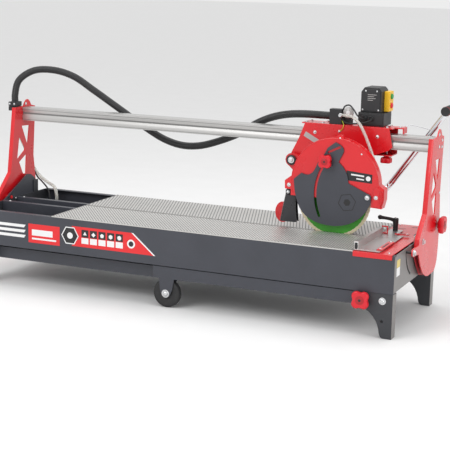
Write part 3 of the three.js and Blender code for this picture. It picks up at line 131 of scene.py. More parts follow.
def surface(name, slot, color, rough=0.4, metal=0.0, mottle=0.08, mottle_scale=7.0, grain=900.0, bump=0.08,
            stretch=(1, 1, 1), rough_change=0.08, coat=0.0, sheen=0.0, anisotropic=0.0, transmission=0.0,
            dust=0.02):
    """A procedural finish: colour and gloss that vary, a fine grained surface and a little dust."""
    material = bpy.data.materials.new(name)
    material.use_nodes = True
    tree = material.node_tree
    link = tree.links.new
    shader = tree.nodes["Principled BSDF"]
    place = node(tree, "ShaderNodeTexCoord")
    mapping = node(tree, "ShaderNodeMapping", Scale=stretch)
    link(place.outputs["Object"], mapping.inputs["Vector"])
    broad = node(tree, "ShaderNodeTexNoise", Scale=mottle_scale, Detail=5.0, Roughness=0.6)
    fine = node(tree, "ShaderNodeTexNoise", Scale=grain, Detail=3.0, Roughness=0.55)
    for texture in (broad, fine):
        link(mapping.outputs["Vector"], texture.inputs["Vector"])
    dark = [c * (1 - mottle) for c in color] + [1]
    light = [min(1, c * (1 + mottle) + 0.004) for c in color] + [1]
    tint = node(tree, "ShaderNodeValToRGB")
    tint.color_ramp.elements[0].position = 0.3
    tint.color_ramp.elements[0].color = dark
    tint.color_ramp.elements[1].position = 0.7
    tint.color_ramp.elements[1].color = light
    link(broad.outputs["Fac"], tint.inputs["Fac"])
    specks = node(tree, "ShaderNodeTexNoise", Scale=60.0, Detail=8.0, Roughness=0.75)
    link(place.outputs["Object"], specks.inputs["Vector"])
    amount = node(tree, "ShaderNodeMapRange")
    for key, value in (("From Min", 0.56), ("From Max", 0.78), ("To Min", 0.0), ("To Max", dust)):
        amount.inputs[key].default_value = value
    link(specks.outputs["Fac"], amount.inputs["Value"])
    mix = node(tree, "ShaderNodeMix", data_type="RGBA")
    link(amount.outputs["Result"], mix.inputs["Factor"])
    link(tint.outputs["Color"], mix.inputs["A"])
    mix.inputs["B"].default_value = (0.42, 0.40, 0.38, 1)
    link(mix.outputs["Result"], shader.inputs["Base Color"])
    polish = node(tree, "ShaderNodeMapRange")
    for key, value in (("From Min", 0.3), ("From Max", 0.7), ("To Min", max(0.03, rough - rough_change)),
                       ("To Max", min(1.0, rough + rough_change))):
        polish.inputs[key].default_value = value
    link(broad.outputs["Fac"], polish.inputs["Value"])
    link(polish.outputs["Result"], shader.inputs["Roughness"])
    relief = node(tree, "ShaderNodeBump", Strength=bump, Distance=0.0004)
    link(fine.outputs["Fac"], relief.inputs["Height"])
    link(relief.outputs["Normal"], shader.inputs["Normal"])
    for key, value in (("Metallic", metal), ("Coat Weight", coat), ("Sheen Weight", sheen),
                       ("Anisotropic", anisotropic), ("Transmission Weight", transmission)):
        shader.inputs[key].default_value = value
    material["slot"] = slot
    return material


SLATE = surface("slate_powder", "slate_paint", (0.044, 0.047, 0.060), rough=0.44, bump=0.12)
# A darker and a lighter copy of the slate paint: painted shade for parts in shadow, painted light for faces
# that meet the strong side light.
SHADOW_SLATE = surface("painted_shade_slate", "slate_paint", (0.034, 0.036, 0.042), rough=0.5)
LIT_SLATE = surface("painted_lit_slate", "grey_paint", (0.20, 0.19, 0.185), rough=0.45, bump=0.12)
RED = surface("red_powder", "red_paint", (0.66, 0.004, 0.010), rough=0.30, mottle=0.05,
              bump=0.09, coat=0.25)
# A paler red: painted light, the red paint under strong side light.
LIT_RED = surface("painted_lit_red", "red_paint", (0.50, 0.02, 0.03), rough=0.5)
RED_PLASTIC = surface("red_moulding", "red_plastic", (0.66, 0.004, 0.016), rough=0.36, mottle=0.05,
                      grain=1400, bump=0.07, coat=0.1)
BLACK_PLASTIC = surface("black_moulding", "black_plastic", (0.014, 0.014, 0.016), rough=0.48, grain=2400,
                        bump=0.18, dust=0.05)
MOTOR_BLACK = surface("motor_moulding", "motor_shell", (0.016, 0.016, 0.018), rough=0.5, grain=2200, bump=0.2)
RUBBER = surface("black_rubber", "black_rubber", (0.011, 0.011, 0.012), rough=0.58, grain=1600, bump=0.14,
                 sheen=0.05)
GLOSS_RUBBER = surface("conduit_rubber", "black_rubber", (0.010, 0.010, 0.011), rough=0.34, grain=1600,
                       bump=0.08)
TYRE = surface("tyre_rubber", "tyre_rubber", (0.016, 0.016, 0.017), rough=0.62, grain=1500, bump=0.25,
               dust=0.08)
TABLE_METAL = surface("table_aluminium", "table_metal", (0.58, 0.57, 0.55), rough=0.36, metal=0.5,
                      mottle=0.06, mottle_scale=9, stretch=(0.5, 4, 1), grain=700, bump=0.10, anisotropic=0.3)
# A dark grey copy of the table metal: painted shade in the table's grooves and in the rail's groove.
GROOVE_SHADE = surface("painted_groove_shade", "table_metal", (0.20, 0.198, 0.195), rough=0.5, metal=0.4, mottle=0.12,
                       mottle_scale=12, grain=700, bump=0.15)
SKIRT_RUBBER = surface("skirt_rubber", "black_rubber", (0.020, 0.020, 0.024), rough=0.24, grain=900, bump=0.1)
EARTH_WIRE = surface("earth_wire", "yellow_plastic", (0.42, 0.50, 0.03), rough=0.4, mottle=0.3,
                     mottle_scale=60)
RAIL_METAL = surface("rail_aluminium", "rail_metal", (0.52, 0.515, 0.505), rough=0.34, metal=0.75,
                     mottle=0.03, stretch=(0.3, 9, 9), grain=500, bump=0.04, anisotropic=0.3,
                     rough_change=0.02)
STEEL = surface("turned_steel", "bright_steel", (0.58, 0.58, 0.60), rough=0.28, metal=1.0, mottle=0.1,
                grain=1800, bump=0.05)
ZINC = surface("zinc_plate", "bright_steel", (0.66, 0.67, 0.68), rough=0.26, metal=1.0, mottle=0.14,
               mottle_scale=60)
CHROME = surface("chrome_tube", "bright_tube", (0.72, 0.72, 0.74), rough=0.12, metal=1.0, mottle=0.04,
                 rough_change=0.05, bump=0.02)
GREEN = surface("blade_green", "blade_core", (0.045, 0.30, 0.022), rough=0.38, metal=0.25, mottle=0.14,
                mottle_scale=16, grain=1200, bump=0.06)
ABRASIVE = surface("blade_rim", "blade_core", (0.66, 0.58, 0.40), rough=0.8, mottle=0.2, mottle_scale=220,
                   grain=2600, bump=0.6)
YELLOW = surface("yellow_moulding", "yellow_plastic", (0.86, 0.50, 0.012), rough=0.38, mottle=0.04,
                 grain=1800, bump=0.08)
GREEN_PLASTIC = surface("green_moulding", "green_plastic", (0.02, 0.30, 0.06), rough=0.35, mottle=0.05,
                        grain=1800)
GREY_PLASTIC = surface("grey_moulding", "grey_paint", (0.42, 0.41, 0.40), rough=0.45, mottle=0.06, grain=1900)
HOSE = surface("clear_hose", "clear_hose", (0.82, 0.81, 0.76), rough=0.2, mottle=0.05, bump=0.03,
               transmission=0.55)
WHITE_INK = surface("white_ink", "grey_paint", (0.80, 0.80, 0.80), rough=0.4, mottle=0.03)
RED_INK = surface("red_ink", "red_paint", (0.74, 0.016, 0.020), rough=0.36, mottle=0.03)
BLACK_INK = surface("black_ink", "black_plastic", (0.012, 0.012, 0.013), rough=0.4, mottle=0.05)
YELLOW_INK = surface("yellow_ink", "yellow_plastic", (0.72, 0.56, 0.16), rough=0.45, mottle=0.04)


# ---- mesh helpers
def spin_to(direction):
    """The turn that takes +z to a direction."""
    return Vector((0, 0, 1)).rotation_difference(Vector(direction)).to_matrix().to_4x4()


AXES = {"x": (1, 0, 0), "y": (0, 1, 0), "z": (0, 0, 1)}
PLANES = {
    "xy": lambda a, b, c: (a, b, c),
    "xz": lambda a, b, c: (a, c, b),
    "yz": lambda a, b, c: (c, a, b),
}


def arc(centre, radius, start, end, count=8):
    """Points along an arc, angles in degrees."""
    turns = [math.radians(start + (end - start) * i / count) for i in range(count + 1)]
    return [(centre[0] + radius * math.cos(t), centre[1] + radius * math.sin(t)) for t in turns]


def add_prism(bm, outline, plane, low, high):
    lower = [bm.verts.new(PLANES[plane](a, b, low)) for a, b in outline]
    upper = [bm.verts.new(PLANES[plane](a, b, high)) for a, b in outline]
    count = len(outline)
    bm.faces.new(lower)
    bm.faces.new(upper[::-1])
    for i in range(count):
        bm.faces.new((lower[i], upper[i], upper[(i + 1) % count], lower[(i + 1) % count]))


def add_box(bm, x, y, z):
    add_prism(bm, [(x[0], y[0]), (x[1], y[0]), (x[1], y[1]), (x[0], y[1])], "xy", *z)


def add_rings(bm, rings, closed=False):
    """Skins rings of points of one length, with a cap at each end unless the last ring joins the first."""
    loops = [[bm.verts.new(p) for p in ring] for ring in rings]
    pairs = list(zip(loops, loops[1:] + ([loops[0]] if closed else [])))
    for one, two in pairs:
        for i in range(len(one)):
            j = (i + 1) % len(one)
            bm.faces.new((one[i], one[j], two[j], two[i]))
    if not closed:
        bm.faces.new(loops[0][::-1])
        bm.faces.new(loops[-1])


def add_lathe(bm, profile, at, direction, sides=32, closed=False, radius_at=None):
    """Turns [radius, height] points about an axis through a point. radius_at shapes the ring by its angle."""
    turn = Matrix.Translation(at) @ spin_to(direction)
    wave = radius_at or (lambda angle: 1.0)
    rings = []
    for radius, height in profile:
        ring = []
        for i in range(sides):
            angle = 2 * math.pi * i / sides
            reach = max(radius, 0.01) * wave(angle)
            ring.append(turn @ Vector((reach * math.cos(angle), reach * math.sin(angle), height)))
        rings.append(ring)
    add_rings(bm, rings, closed)


def add_rod(bm, axis, radius, at, length, sides=24, edge=0.5):
    """A round bar with softened ends, from a point along a direction."""
    soft = min(edge, radius / 2, length / 3)
    profile = [(radius - soft, 0), (radius, soft), (radius, length - soft), (radius - soft, length)]
    add_lathe(bm, profile, at, AXES.get(axis, axis), sides)


def add_tube(bm, path, radii, sides=12):
    """A round tube along a path of points, with one radius or a radius for each point."""
    points = [Vector(p) for p in path]
    if not isinstance(radii, list):
        radii = [radii] * len(points)
    normal = None
    rings = []
    for i, point in enumerate(points):
        along = (points[min(i + 1, len(points) - 1)] - points[max(i - 1, 0)]).normalized()
        if normal is None:
            normal = along.orthogonal().normalized()
        normal = (normal - along * normal.dot(along)).normalized()
        across = along.cross(normal)
        rings.append([point + radii[i] * (math.cos(t) * normal + math.sin(t) * across)
                      for t in (2 * math.pi * k / sides for k in range(sides))])
    add_rings(bm, rings)


def smooth_path(points, step):
    """Points a step apart on the centripetal Catmull-Rom curve through the given points."""
    p = [Vector(q) for q in points]
    p = [2 * p[0] - p[1], *p, 2 * p[-1] - p[-2]]
    found = [p[1]]
    for a, b, c, d in zip(p, p[1:], p[2:], p[3:]):
        gaps = [max((two - one).length ** 0.5, 1e-4) for one, two in ((a, b), (b, c), (c, d))]
        start = ((b - a) / gaps[0] - (c - a) / (gaps[0] + gaps[1]) + (c - b) / gaps[1]) * gaps[1]
        end = ((c - b) / gaps[1] - (d - b) / (gaps[1] + gaps[2]) + (d - c) / gaps[2]) * gaps[1]
        count = max(1, round((c - b).length / step))
        for i in range(1, count + 1):
            t = i / count
            found.append((2 * t**3 - 3 * t**2 + 1) * b + (t**3 - 2 * t**2 + t) * start
                         + (3 * t**2 - 2 * t**3) * c + (t**3 - t**2) * end)
    return found


def soften(piece, width, segments=2, angle=35):
    """Rounds a piece's hard edges."""
    bevel = piece.modifiers.new("soft_edges", "BEVEL")
    bevel.width = width * MM
    bevel.segments = segments
    bevel.limit_method = "ANGLE"
    bevel.angle_limit = math.radians(angle)
    bevel.harden_normals = True
    bevel.use_clamp_overlap = True


SHARP_ANGLE = 38    # a harder edge than this stays crisp


def place_mesh(name, bm, material):
    """Turns a mesh in saw millimetres into an object in the row frame."""
    bmesh.ops.transform(bm, matrix=TO_ROW, verts=bm.verts)
    bmesh.ops.recalc_face_normals(bm, faces=bm.faces)
    mesh = bpy.data.meshes.new(name)
    bm.to_mesh(mesh)
    bm.free()
    mesh.materials.append(material)
    piece = bpy.data.objects.new(name, mesh)
    scene.collection.objects.link(piece)
    return piece


def make(name, bm, material, body, bevel=0.0, segments=2, sharp=SHARP_ANGLE):
    """Turns a mesh in saw millimetres into a finished piece that rides on a body, if one is named."""
    piece = place_mesh(name, bm, material)
    for polygon in piece.data.polygons:
        polygon.use_smooth = True
    piece.data.set_sharp_from_angle(angle=math.radians(sharp))
    if bevel:
        soften(piece, bevel, segments)
    if body:
        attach(piece, body)
    return piece


def refine(name, material, bevel=0.7, segments=2, painted_light_tone=None, facing=None):
    """Stands in for a CAD node with its own shape, its flat faces cleaned and its edges rounded.
    Faces that look along `facing` take a second material: a lighter or darker copy of the colour, as painted
    light or painted shade on those faces."""
    source = frame["nodes"][name]
    mesh = source.data.copy()
    mesh.name = f"{name}_shell"
    mesh.materials.clear()
    mesh.materials.append(material)
    bm = bmesh.new()
    bm.from_mesh(mesh)
    bmesh.ops.remove_doubles(bm, verts=bm.verts, dist=1e-6)
    bmesh.ops.dissolve_limit(bm, angle_limit=math.radians(1), verts=bm.verts, edges=bm.edges)
    bmesh.ops.recalc_face_normals(bm, faces=bm.faces)
    for face in bm.faces:
        face.smooth = True
        face.material_index = int(bool(painted_light_tone) and face.normal.dot(Vector(facing or (0, 0, 1))) > 0.9)
    bm.to_mesh(mesh)
    bm.free()
    if painted_light_tone:
        mesh.materials.append(painted_light_tone)
    mesh.set_sharp_from_angle(angle=math.radians(SHARP_ANGLE))
    piece = bpy.data.objects.new(f"{name}_shell", mesh)
    scene.collection.objects.link(piece)
    soften(piece, bevel, segments)
    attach(piece, source["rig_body"])
    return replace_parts(piece, name)


def add_bolt(bm, at, direction, radius, kind="hex"):
    """A fastener's head with its washer, standing on a face."""
    turn = Vector(direction)
    thick = radius * 0.22
    add_lathe(bm, [(radius * 1.45, 0), (radius * 1.45, thick * 0.8), (radius * 1.3, thick)], at, turn, 24)
    seat = Vector(at) + turn * thick
    if kind == "hex":
        add_lathe(bm, [(radius, 0), (radius, radius * 0.62), (radius * 0.84, radius * 0.78)], seat, turn, 6)
        add_lathe(bm, [(radius * 0.42, 0), (radius * 0.42, radius * 0.86), (radius * 0.36, radius * 0.9)],
                  seat, turn, 12)
    else:
        dome = [(radius * math.cos(t), radius * 0.62 * math.sin(t)) for t in
                (math.radians(a) for a in (0, 25, 50, 72, 86))]
        add_lathe(bm, dome, seat, turn, 20)


def bolts(name, body, places):
    """Fasteners on one body: each place is (point, direction, radius, kind)."""
    bm = bmesh.new()
    for at, direction, radius, kind in places:
        add_bolt(bm, at, direction, radius, kind)
    return make(name, bm, ZINC, body)


def rectangle(x0, y0, x1, y1):
    return [(x0, y0), (x1, y0), (x1, y1), (x0, y1)]


def disc(centre, radius):
    """A round outline."""
    return arc(centre, radius, 0, 345, 23)


def sticker(name, outlines, plane, layer, ink, body="frame"):
    """A thin mark made of outlines on a flat face."""
    bm = bmesh.new()
    for outline in outlines:
        add_prism(bm, outline, plane, *layer)
    return make(name, bm, ink, body)


def block(name, x, y, z, material, body, bevel=0.0):
    bm = bmesh.new()
    add_box(bm, x, y, z)
    return make(name, bm, material, body, bevel)


def lead(name, routes, step, radius, material, sides=12):
    """Fixed wires on the carriage."""
    bm = bmesh.new()
    for route in routes:
        add_tube(bm, smooth_path(route, step), radius, sides)
    return make(name, bm, material, "carriage")


LEFT, RIGHT, FORWARD, BACK, UP = (-1, 0, 0), (1, 0, 0), (0, -1, 0), (0, 1, 0), (0, 0, 1)

# ---- cords, made first
CONDUIT_ROUTE = [
    (-1566, 321, 608.4), (-1566, 321, 632), (-1557, 334, 684), (-1514, 366, 720), (-1448, 396, 724),
    (-1375, 416, 704), (-1290, 424, 655), (-1200, 428, 602), (-1087, 428, 538), (-1000, 428, 496),
    (-930, 428, 480), (-860, 428, 484), (-775, 428, 510), (-700, 426, 543), (-640, 422, 580),
    (-580, 408, 606), (-510, 384, 624), (-430, 356, 633), (-372, 350, 634), (-344.4, 350, 634),
]
HEAD_HOSE_ROUTE = [
    (-300, 335, 640), (-280, 322, 641), (-252, 310, 638), (-226, 300, 618), (-206, 292, 590),
    (-188, 286, 556), (-170, 282, 515), (-152, 278, 474), (-142, 270, 446), (-139, 260, 437),
    (-139, 245.9, 436),
]
PUMP_HOSE_ROUTE = [
    (-1574, 321, 574.6), (-1574, 322, 555), (-1574, 345, 500), (-1574, 392, 430), (-1572, 432, 370),
    (-1562, 452, 330), (-1540, 456, 306), (-1505, 448, 290), (-1465, 428, 278), (-1450, 417, 250),
    (-1450, 417, 221),
]
PUMP_CABLE_ROUTE = [
    (-1560, 310, 574.6), (-1560, 311, 560), (-1560, 326, 515), (-1560, 360, 450), (-1560, 402, 385),
    (-1558, 430, 340), (-1548, 438, 312), (-1518, 428, 294), (-1482, 408, 272), (-1470, 402, 240),
    (-1470, 402, 208),
]


def add_cord(name, node_name, route, radius, material, step, sides, ridge=0.0):
    """A cord drawn as one fixed tube along its route between the two bodies at its ends; it rides on neither.
    """
    path = smooth_path(route, step)
    radii = [radius] * len(path)
    if ridge:
        radii = [radius - (ridge if i % 4 in (2, 3) else 0.0) for i in range(len(path))]
        radii[0] = radii[-1] = radius
    bm = bmesh.new()
    add_tube(bm, path, radii, sides)
    piece = make(name, bm, material, None)
    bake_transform(piece)
    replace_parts(piece, node_name)


add_cord("conduit_ribbed", "conduit", CONDUIT_ROUTE, 13, GLOSS_RUBBER, 1.3, 20,
         0.9)
add_cord("head_hose_clear", "head_hose", HEAD_HOSE_ROUTE, 5, HOSE, 5, 16)
add_cord("pump_hose_clear", "pump_hose", PUMP_HOSE_ROUTE, 6, HOSE, 6, 16)
add_cord("pump_cable_black", "pump_cable", PUMP_CABLE_ROUTE, 3, RUBBER, 6, 12)

# ---- base frame
TABLE_TOP = cad("front_table")[1].z
TILT_PIVOT = (228, TABLE_TOP)
MID_RAILS = (181, 272)


def base_frame():
    for name in ("front_side_panel", "back_side_panel"):
        refine(name, SLATE, 1.2, 3)
    for name in ("front_mid_rail", "back_mid_rail", "left_tilt_bracket"):
        refine(name, SLATE, 0.9)
    # The right end panel takes the lighter slate copy as painted light; the left end panel takes the darker
    # copy as painted shade inside the tray.
    refine("right_end_panel", LIT_SLATE, 0.5)
    refine("left_end_panel", SHADOW_SLATE, 0.5)
    refine("water_tray", BLACK_PLASTIC, 1.0)
    refine("end_plate", RED, 0.9)
    # Feet: the darker slate copy as painted shade, with their end faces in the lighter copy as painted light.
    for name in ("right_front_foot", "right_back_foot", "left_front_foot", "left_back_foot"):
        facing = RIGHT if name.startswith("right") else LEFT
        refine(name, SHADOW_SLATE, 0.6, painted_light_tone=LIT_SLATE, facing=facing)


def table_ribs(node_name, lean, pitch=11, width=9.2, height=0.3):
    """The raised diagonal ribs that grip the tile, clipped to the table's edges."""
    low, high = cad(node_name)
    margin = 1.5
    front, back = low.y + margin, high.y - margin
    left, right = low.x + margin, high.x - margin
    shift = (back - front) * math.tan(math.radians(lean))
    bm = bmesh.new()
    start = left + min(0, shift)
    while start < right + max(0, shift):
        ends = [(start - edge) / shift for edge in (left, right - width)]
        near, far = max(0.0, min(ends)), min(1.0, max(ends))
        if far - near > 0.02:
            rows = []
            for t in (near, far):
                x = start - shift * t
                y = front + (back - front) * t
                rows.append([(x, y, high.z - 0.3), (x + width, y, high.z - 0.3),
                             (x + width * 0.86, y, high.z + height), (x + width * 0.14, y, high.z + height)])
            add_rings(bm, rows)
        start += pitch
    make(f"{node_name}_ribs", bm, TABLE_METAL, "frame")


def tables():
    for name, lean in (("front_table", 38), ("back_table", 20)):
        # Up-facing table faces take the dark copy: painted shade between the raised ribs.
        refine(name, TABLE_METAL, 0.8, painted_light_tone=GROOVE_SHADE, facing=UP)
        table_ribs(name, lean)


def front_panel_marks():
    """Plain coloured stickers on the front panel, with no lettering."""
    front = cad("front_side_panel")[0].y
    back = front + 0.2
    layers = [(front - depth, back) for depth in (0.3, 0.45, 0.6, 0.75)]
    low, middle, high = 172, 207, 241
    stripes = [[(-1505, z), (-1325, z), (-1318, z + 10), (-1505, z + 10)] for z in (180, 198, 216)]
    sticker("white_stripes", stripes, "xz", layers[0], WHITE_INK)
    sticker("red_sticker", [rectangle(-1307, low - 6, -1182, high - 9)], "xz", layers[0], RED_INK)
    lines = [rectangle(-1293, 178, -1196, 184), rectangle(-1293, 192, -1210, 213)]
    sticker("red_sticker_lines", lines, "xz", layers[1], WHITE_INK)
    panel = [(-1135, low), (-822, low), (-905, high), (-1135, high), (-1107, middle)]
    sticker("pictogram_sticker", [panel], "xz", layers[0], RED_INK)
    edge = [(-822, low), (-815, low), (-898, high), (-905, high)]
    sticker("pictogram_sticker_edge", [edge], "xz", layers[0], WHITE_INK)
    hexagon = (-1141, middle)
    sticker("hexagon_edge", [arc(hexagon, 34, 0, 300, 5)], "xz", layers[1], WHITE_INK)
    sticker("hexagon_face", [arc(hexagon, 30, 0, 300, 5)], "xz", layers[2], BLACK_INK)
    sticker("hexagon_dot", [disc(hexagon, 11)], "xz", layers[3], WHITE_INK)
    dark, pale = bmesh.new(), bmesh.new()
    square, roundel = 27, (-906, 203)
    for i in range(5):
        x = -1096 + 33 * i
        add_prism(dark, rectangle(x, 206, x + square, 232), "xz", *layers[1])
        add_prism(pale, rectangle(x, 184, x + square, 204), "xz", *layers[1])
        sides = 3 + i
        figure = arc((x + square / 2, 218), 8, 90, 90 + 360 * (sides - 1) / sides, sides - 1)
        add_prism(pale, figure, "xz", *layers[2])
    add_prism(pale, disc(roundel, 15), "xz", *layers[1])
    add_prism(dark, disc(roundel, 9), "xz", *layers[2])
    make("pictogram_squares", dark, BLACK_INK, "frame")
    make("pictogram_marks", pale, WHITE_INK, "frame")


def end_panel_marks():
    """A plain two-tone label on the right end panel, and a black plate behind the tilt slot as painted shade.
    """
    face = cad("right_end_panel")[1].x
    layer = (face - 0.2, face + 0.3)
    sticker("end_label_top", [rectangle(26, 221, 60, 245)], "yz", layer, YELLOW_INK)
    sticker("end_label_bottom", [rectangle(26, 193, 60, 220)], "yz", layer, WHITE_INK)
    # A black plate behind the tilt slot: painted shade seen through the slot.
    turns = (186, 243)
    outline = arc(TILT_PIVOT, 115, *turns, 20) + arc(TILT_PIVOT, 99, *reversed(turns), 20)
    sticker("slot_shadow_plate", [outline], "yz", (-6, -3.3), BLACK_PLASTIC)


def frame_fittings():
    top, rail_top = cad("end_plate")[1].z, cad("front_mid_rail")[1].z
    places = [((x, y, top), UP, 3.2, "dome") for x, y in
              ((-24, 20), (-118, 300), (-24, 300), (-24, 455), (-118, 455))]
    places += [((-1500, y, rail_top), UP, 3.5, "dome") for y in MID_RAILS]
    places += [((0, y, 243), RIGHT, 5, "dome") for y in MID_RAILS]
    places += [((x, y, 263), UP, 3, "dome") for x, y in ((-1515, 240), (-15, 14))]
    bolts("frame_screws", "frame", places)
    # Black strips on the end plate's top for its slots: painted shade in the openings.
    bm = bmesh.new()
    for x, y, long, wide in ((-30, 330, 5, 30), (-96, 400, 26, 5), (-60, 440, 26, 5)):
        add_box(bm, (x - long / 2, x + long / 2), (y - wide / 2, y + wide / 2), (top - 0.2, top + 0.25))
    make("end_plate_slot_shade", bm, BLACK_INK, "frame")
    bm = bmesh.new()
    for i in range(13):
        y = 30 + 34 * i
        add_box(bm, (-133.5, -123 if i % 3 else -117), (y, y + 1.4), (top - 0.1, top + 0.2))
    make("end_plate_scale", bm, WHITE_INK, "frame")


def water_pump():
    low, high = cad("water_pump")
    bm = bmesh.new()
    body_top = high.z - 14
    add_box(bm, (low.x, high.x), (low.y, high.y), (low.z + 8, body_top - 6))
    add_box(bm, (low.x + 5, high.x - 5), (low.y + 4, high.y - 4), (low.z, body_top))
    middle = ((low.x + high.x) / 2, (low.y + high.y) / 2)
    add_rod(bm, "z", 7, (*middle, body_top - 2), 15.5)
    for i in range(7):
        x = low.x + 8 + i * 6.4
        add_box(bm, (x, x + 2.4), (low.y - 0.8, high.y + 0.8), (low.z + 14, body_top - 14))
    piece = make("water_pump_body", bm, BLACK_PLASTIC, "frame", 0.8)
    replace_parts(piece, "water_pump")


base_frame()
tables()
front_panel_marks()
end_panel_marks()
frame_fittings()
water_pump()


# ---- knobs
LOBE_DEPTH = 0.24
LOBE_REACH = 1.12    # the lobes point between the axes, so they reach further than half the knob's box


def knob(node_name, axis, toward):
    """A four-lobed hand knob with a soft crown, a centre cap and its threaded stud. The cap's darker red and
    the black insert are painted shade in the knob's centre hole.
    """
    low, high = cad(node_name)
    middle = (low + high) / 2
    index = "xyz".index(axis)
    face = high[index] if toward > 0 else low[index]
    other = [i for i in range(3) if i != index]
    radius = (high[other[0]] - low[other[0]]) / 2 * LOBE_REACH
    at = middle.copy()
    at[index] = face
    inward = Vector(AXES[axis]) * -toward
    thick = 20.0
    reach = high[index] - low[index]
    body = frame["nodes"][node_name]["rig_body"]

    def lobes(angle):
        return 1 - LOBE_DEPTH * (0.5 + 0.5 * math.cos(4 * angle)) ** 1.5

    bm = bmesh.new()
    profile = [(radius * share, height) for share, height in
               ((0.55, 1.6), (0.78, 0.4), (0.93, 1.0), (1, 4.0), (1, 11.0), (0.95, 16.0), (0.80, thick - 1),
                (0.45, thick + 0.5), (0.42, thick + 4))]
    add_lathe(bm, profile, at, inward, 64, radius_at=lobes)
    piece = make(f"{node_name}_grip", bm, RED_PLASTIC, body, sharp=50)
    # Centre cap in a darker red and a black insert: painted shade in the knob's centre hole.
    bm = bmesh.new()
    add_lathe(bm, [(radius * 0.40, 0), (radius * 0.44, 0.6), (radius * 0.44, 3), (radius * 0.16, 3),
                   (radius * 0.16, 1.8)], at + inward * 0.2, inward, 32)
    make(f"{node_name}_cap", bm, RECESS_SHADE_RED, body)
    bm = bmesh.new()
    hole_shade = [(radius * 0.15, 0), (radius * 0.15, 1.2), (radius * 0.11, 1.2)]
    add_lathe(bm, hole_shade, at - inward * 0.1, inward, 6)
    make(f"{node_name}_insert", bm, MOTOR_BLACK, body)
    bm = bmesh.new()
    start, end = thick + 3.5, reach
    count = max(4, int((end - start) / 0.6))
    turns = [(4.0 if i % 2 else 3.55, start + (end - start) * i / count) for i in range(count + 1)]
    add_lathe(bm, turns, at, inward, 16)
    make(f"{node_name}_stud", bm, ZINC, body)
    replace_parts(piece, node_name)


# A darker red: painted shade for the knobs' centre recesses.
RECESS_SHADE_RED = surface("painted_recess_shade", "red_plastic", (0.42, 0.006, 0.012), rough=0.42, mottle=0.05, grain=1400)
KNOBS = (
    ("right_front_lock_knob", "y", -1), ("right_back_lock_knob", "y", 1), ("left_front_lock_knob", "y", 1),
    ("left_back_lock_knob", "y", -1), ("right_tilt_knob", "x", 1), ("left_tilt_knob", "x", -1),
    ("slide_lock_knob", "z", -1), ("guard_knob", "y", -1),
)
for name, axis, toward in KNOBS:
    knob(name, axis, toward)


# ---- legs and wheels
def legs():
    refine("right_leg_frame", SLATE, 1.4, 3)
    refine("left_leg_frame", SLATE, 1.4, 3)
    end = cad("right_leg_frame")[0].x
    bm = bmesh.new()
    for y in (4, 447):
        add_box(bm, (end - 2, end + 12), (y + 2.3, y + 26.7), (101.3, 136.7))
    make("right_leg_caps", bm, BLACK_PLASTIC, "right_leg", 1.2)
    end = cad("left_leg_frame")[1].x
    bm = bmesh.new()
    for y in (41, 410):
        add_box(bm, (end - 12, end + 2), (y + 2.3, y + 26.7), (90.3, 125.7))
    make("left_leg_caps", bm, BLACK_PLASTIC, "left_leg", 1.2)
    pivots = [((-33, y, 119), way, 8, "hex") for y, way in
              ((0, FORWARD), (37, BACK), (480, BACK), (443, FORWARD))]
    pivots += [((-1497, y, 108), way, 8, "hex") for y, way in ((0, FORWARD), (480, BACK))]
    bolts("leg_pivot_bolts", "frame", pivots)
    axles = [((-778, y, 48.3), way, 9.5, "dome") for y, way in
             ((4, FORWARD), (33, BACK), (476, BACK), (447, FORWARD))]
    bolts("axle_bolts", "right_leg", axles)


def wheel(side):
    low, high = cad(f"{side}_tyre")
    middle = (low + high) / 2
    radius = (high.x - low.x) / 2
    half = (high.y - low.y) / 2
    hub_edge = 18.3
    ring = [(hub_edge, -half + 2), (radius * 0.62, -half + 0.6), (radius * 0.80, -half)]
    ring += [(radius - 4 + 4 * math.sin(t), -half + 5 - 5 * math.cos(t)) for t in
             (math.radians(a) for a in (20, 45, 70, 90))]
    ring += [(radius, -3.4), (radius - 0.9, -3.0), (radius - 0.9, -2.0), (radius, -1.6)]
    ring += [(r, -y) for r, y in reversed(ring)]
    bm = bmesh.new()
    add_lathe(bm, ring, middle, BACK, 64, closed=True)
    piece = make(f"{side}_tyre_moulding", bm, TYRE, f"{side}_wheel", sharp=50)
    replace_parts(piece, f"{side}_tyre")
    bm = bmesh.new()
    rim = [(13, -half + 1), (16.5, -half + 0.6), (17.9, -half + 2.2), (17.9, half - 2.2), (16.5, half - 0.6),
           (13, half - 1), (13, 4), (12.4, 3), (12.4, -3), (13, -4)]
    add_lathe(bm, rim, middle, BACK, 40, closed=True)
    bore = [(5.6, -half), (8.5, -half), (9.2, -half + 1), (9.2, half - 1), (8.5, half), (5.6, half)]
    add_lathe(bm, bore, middle, BACK, 32, closed=True)
    for i in range(6):
        turn = Matrix.Rotation(math.radians(60 * i), 4, "Y")
        corners = [(-1.6, 8.8), (1.6, 8.8), (1.9, 13.2), (-1.9, 13.2)]
        rings = [[middle + turn @ Vector((x, y, z)) for x, z in corners] for y in (-half + 3, half - 3)]
        add_rings(bm, rings)
    piece = make(f"{side}_hub_spokes", bm, BLACK_PLASTIC, f"{side}_wheel", 0.4)
    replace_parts(piece, f"{side}_hub")


legs()
wheel("front")
wheel("back")


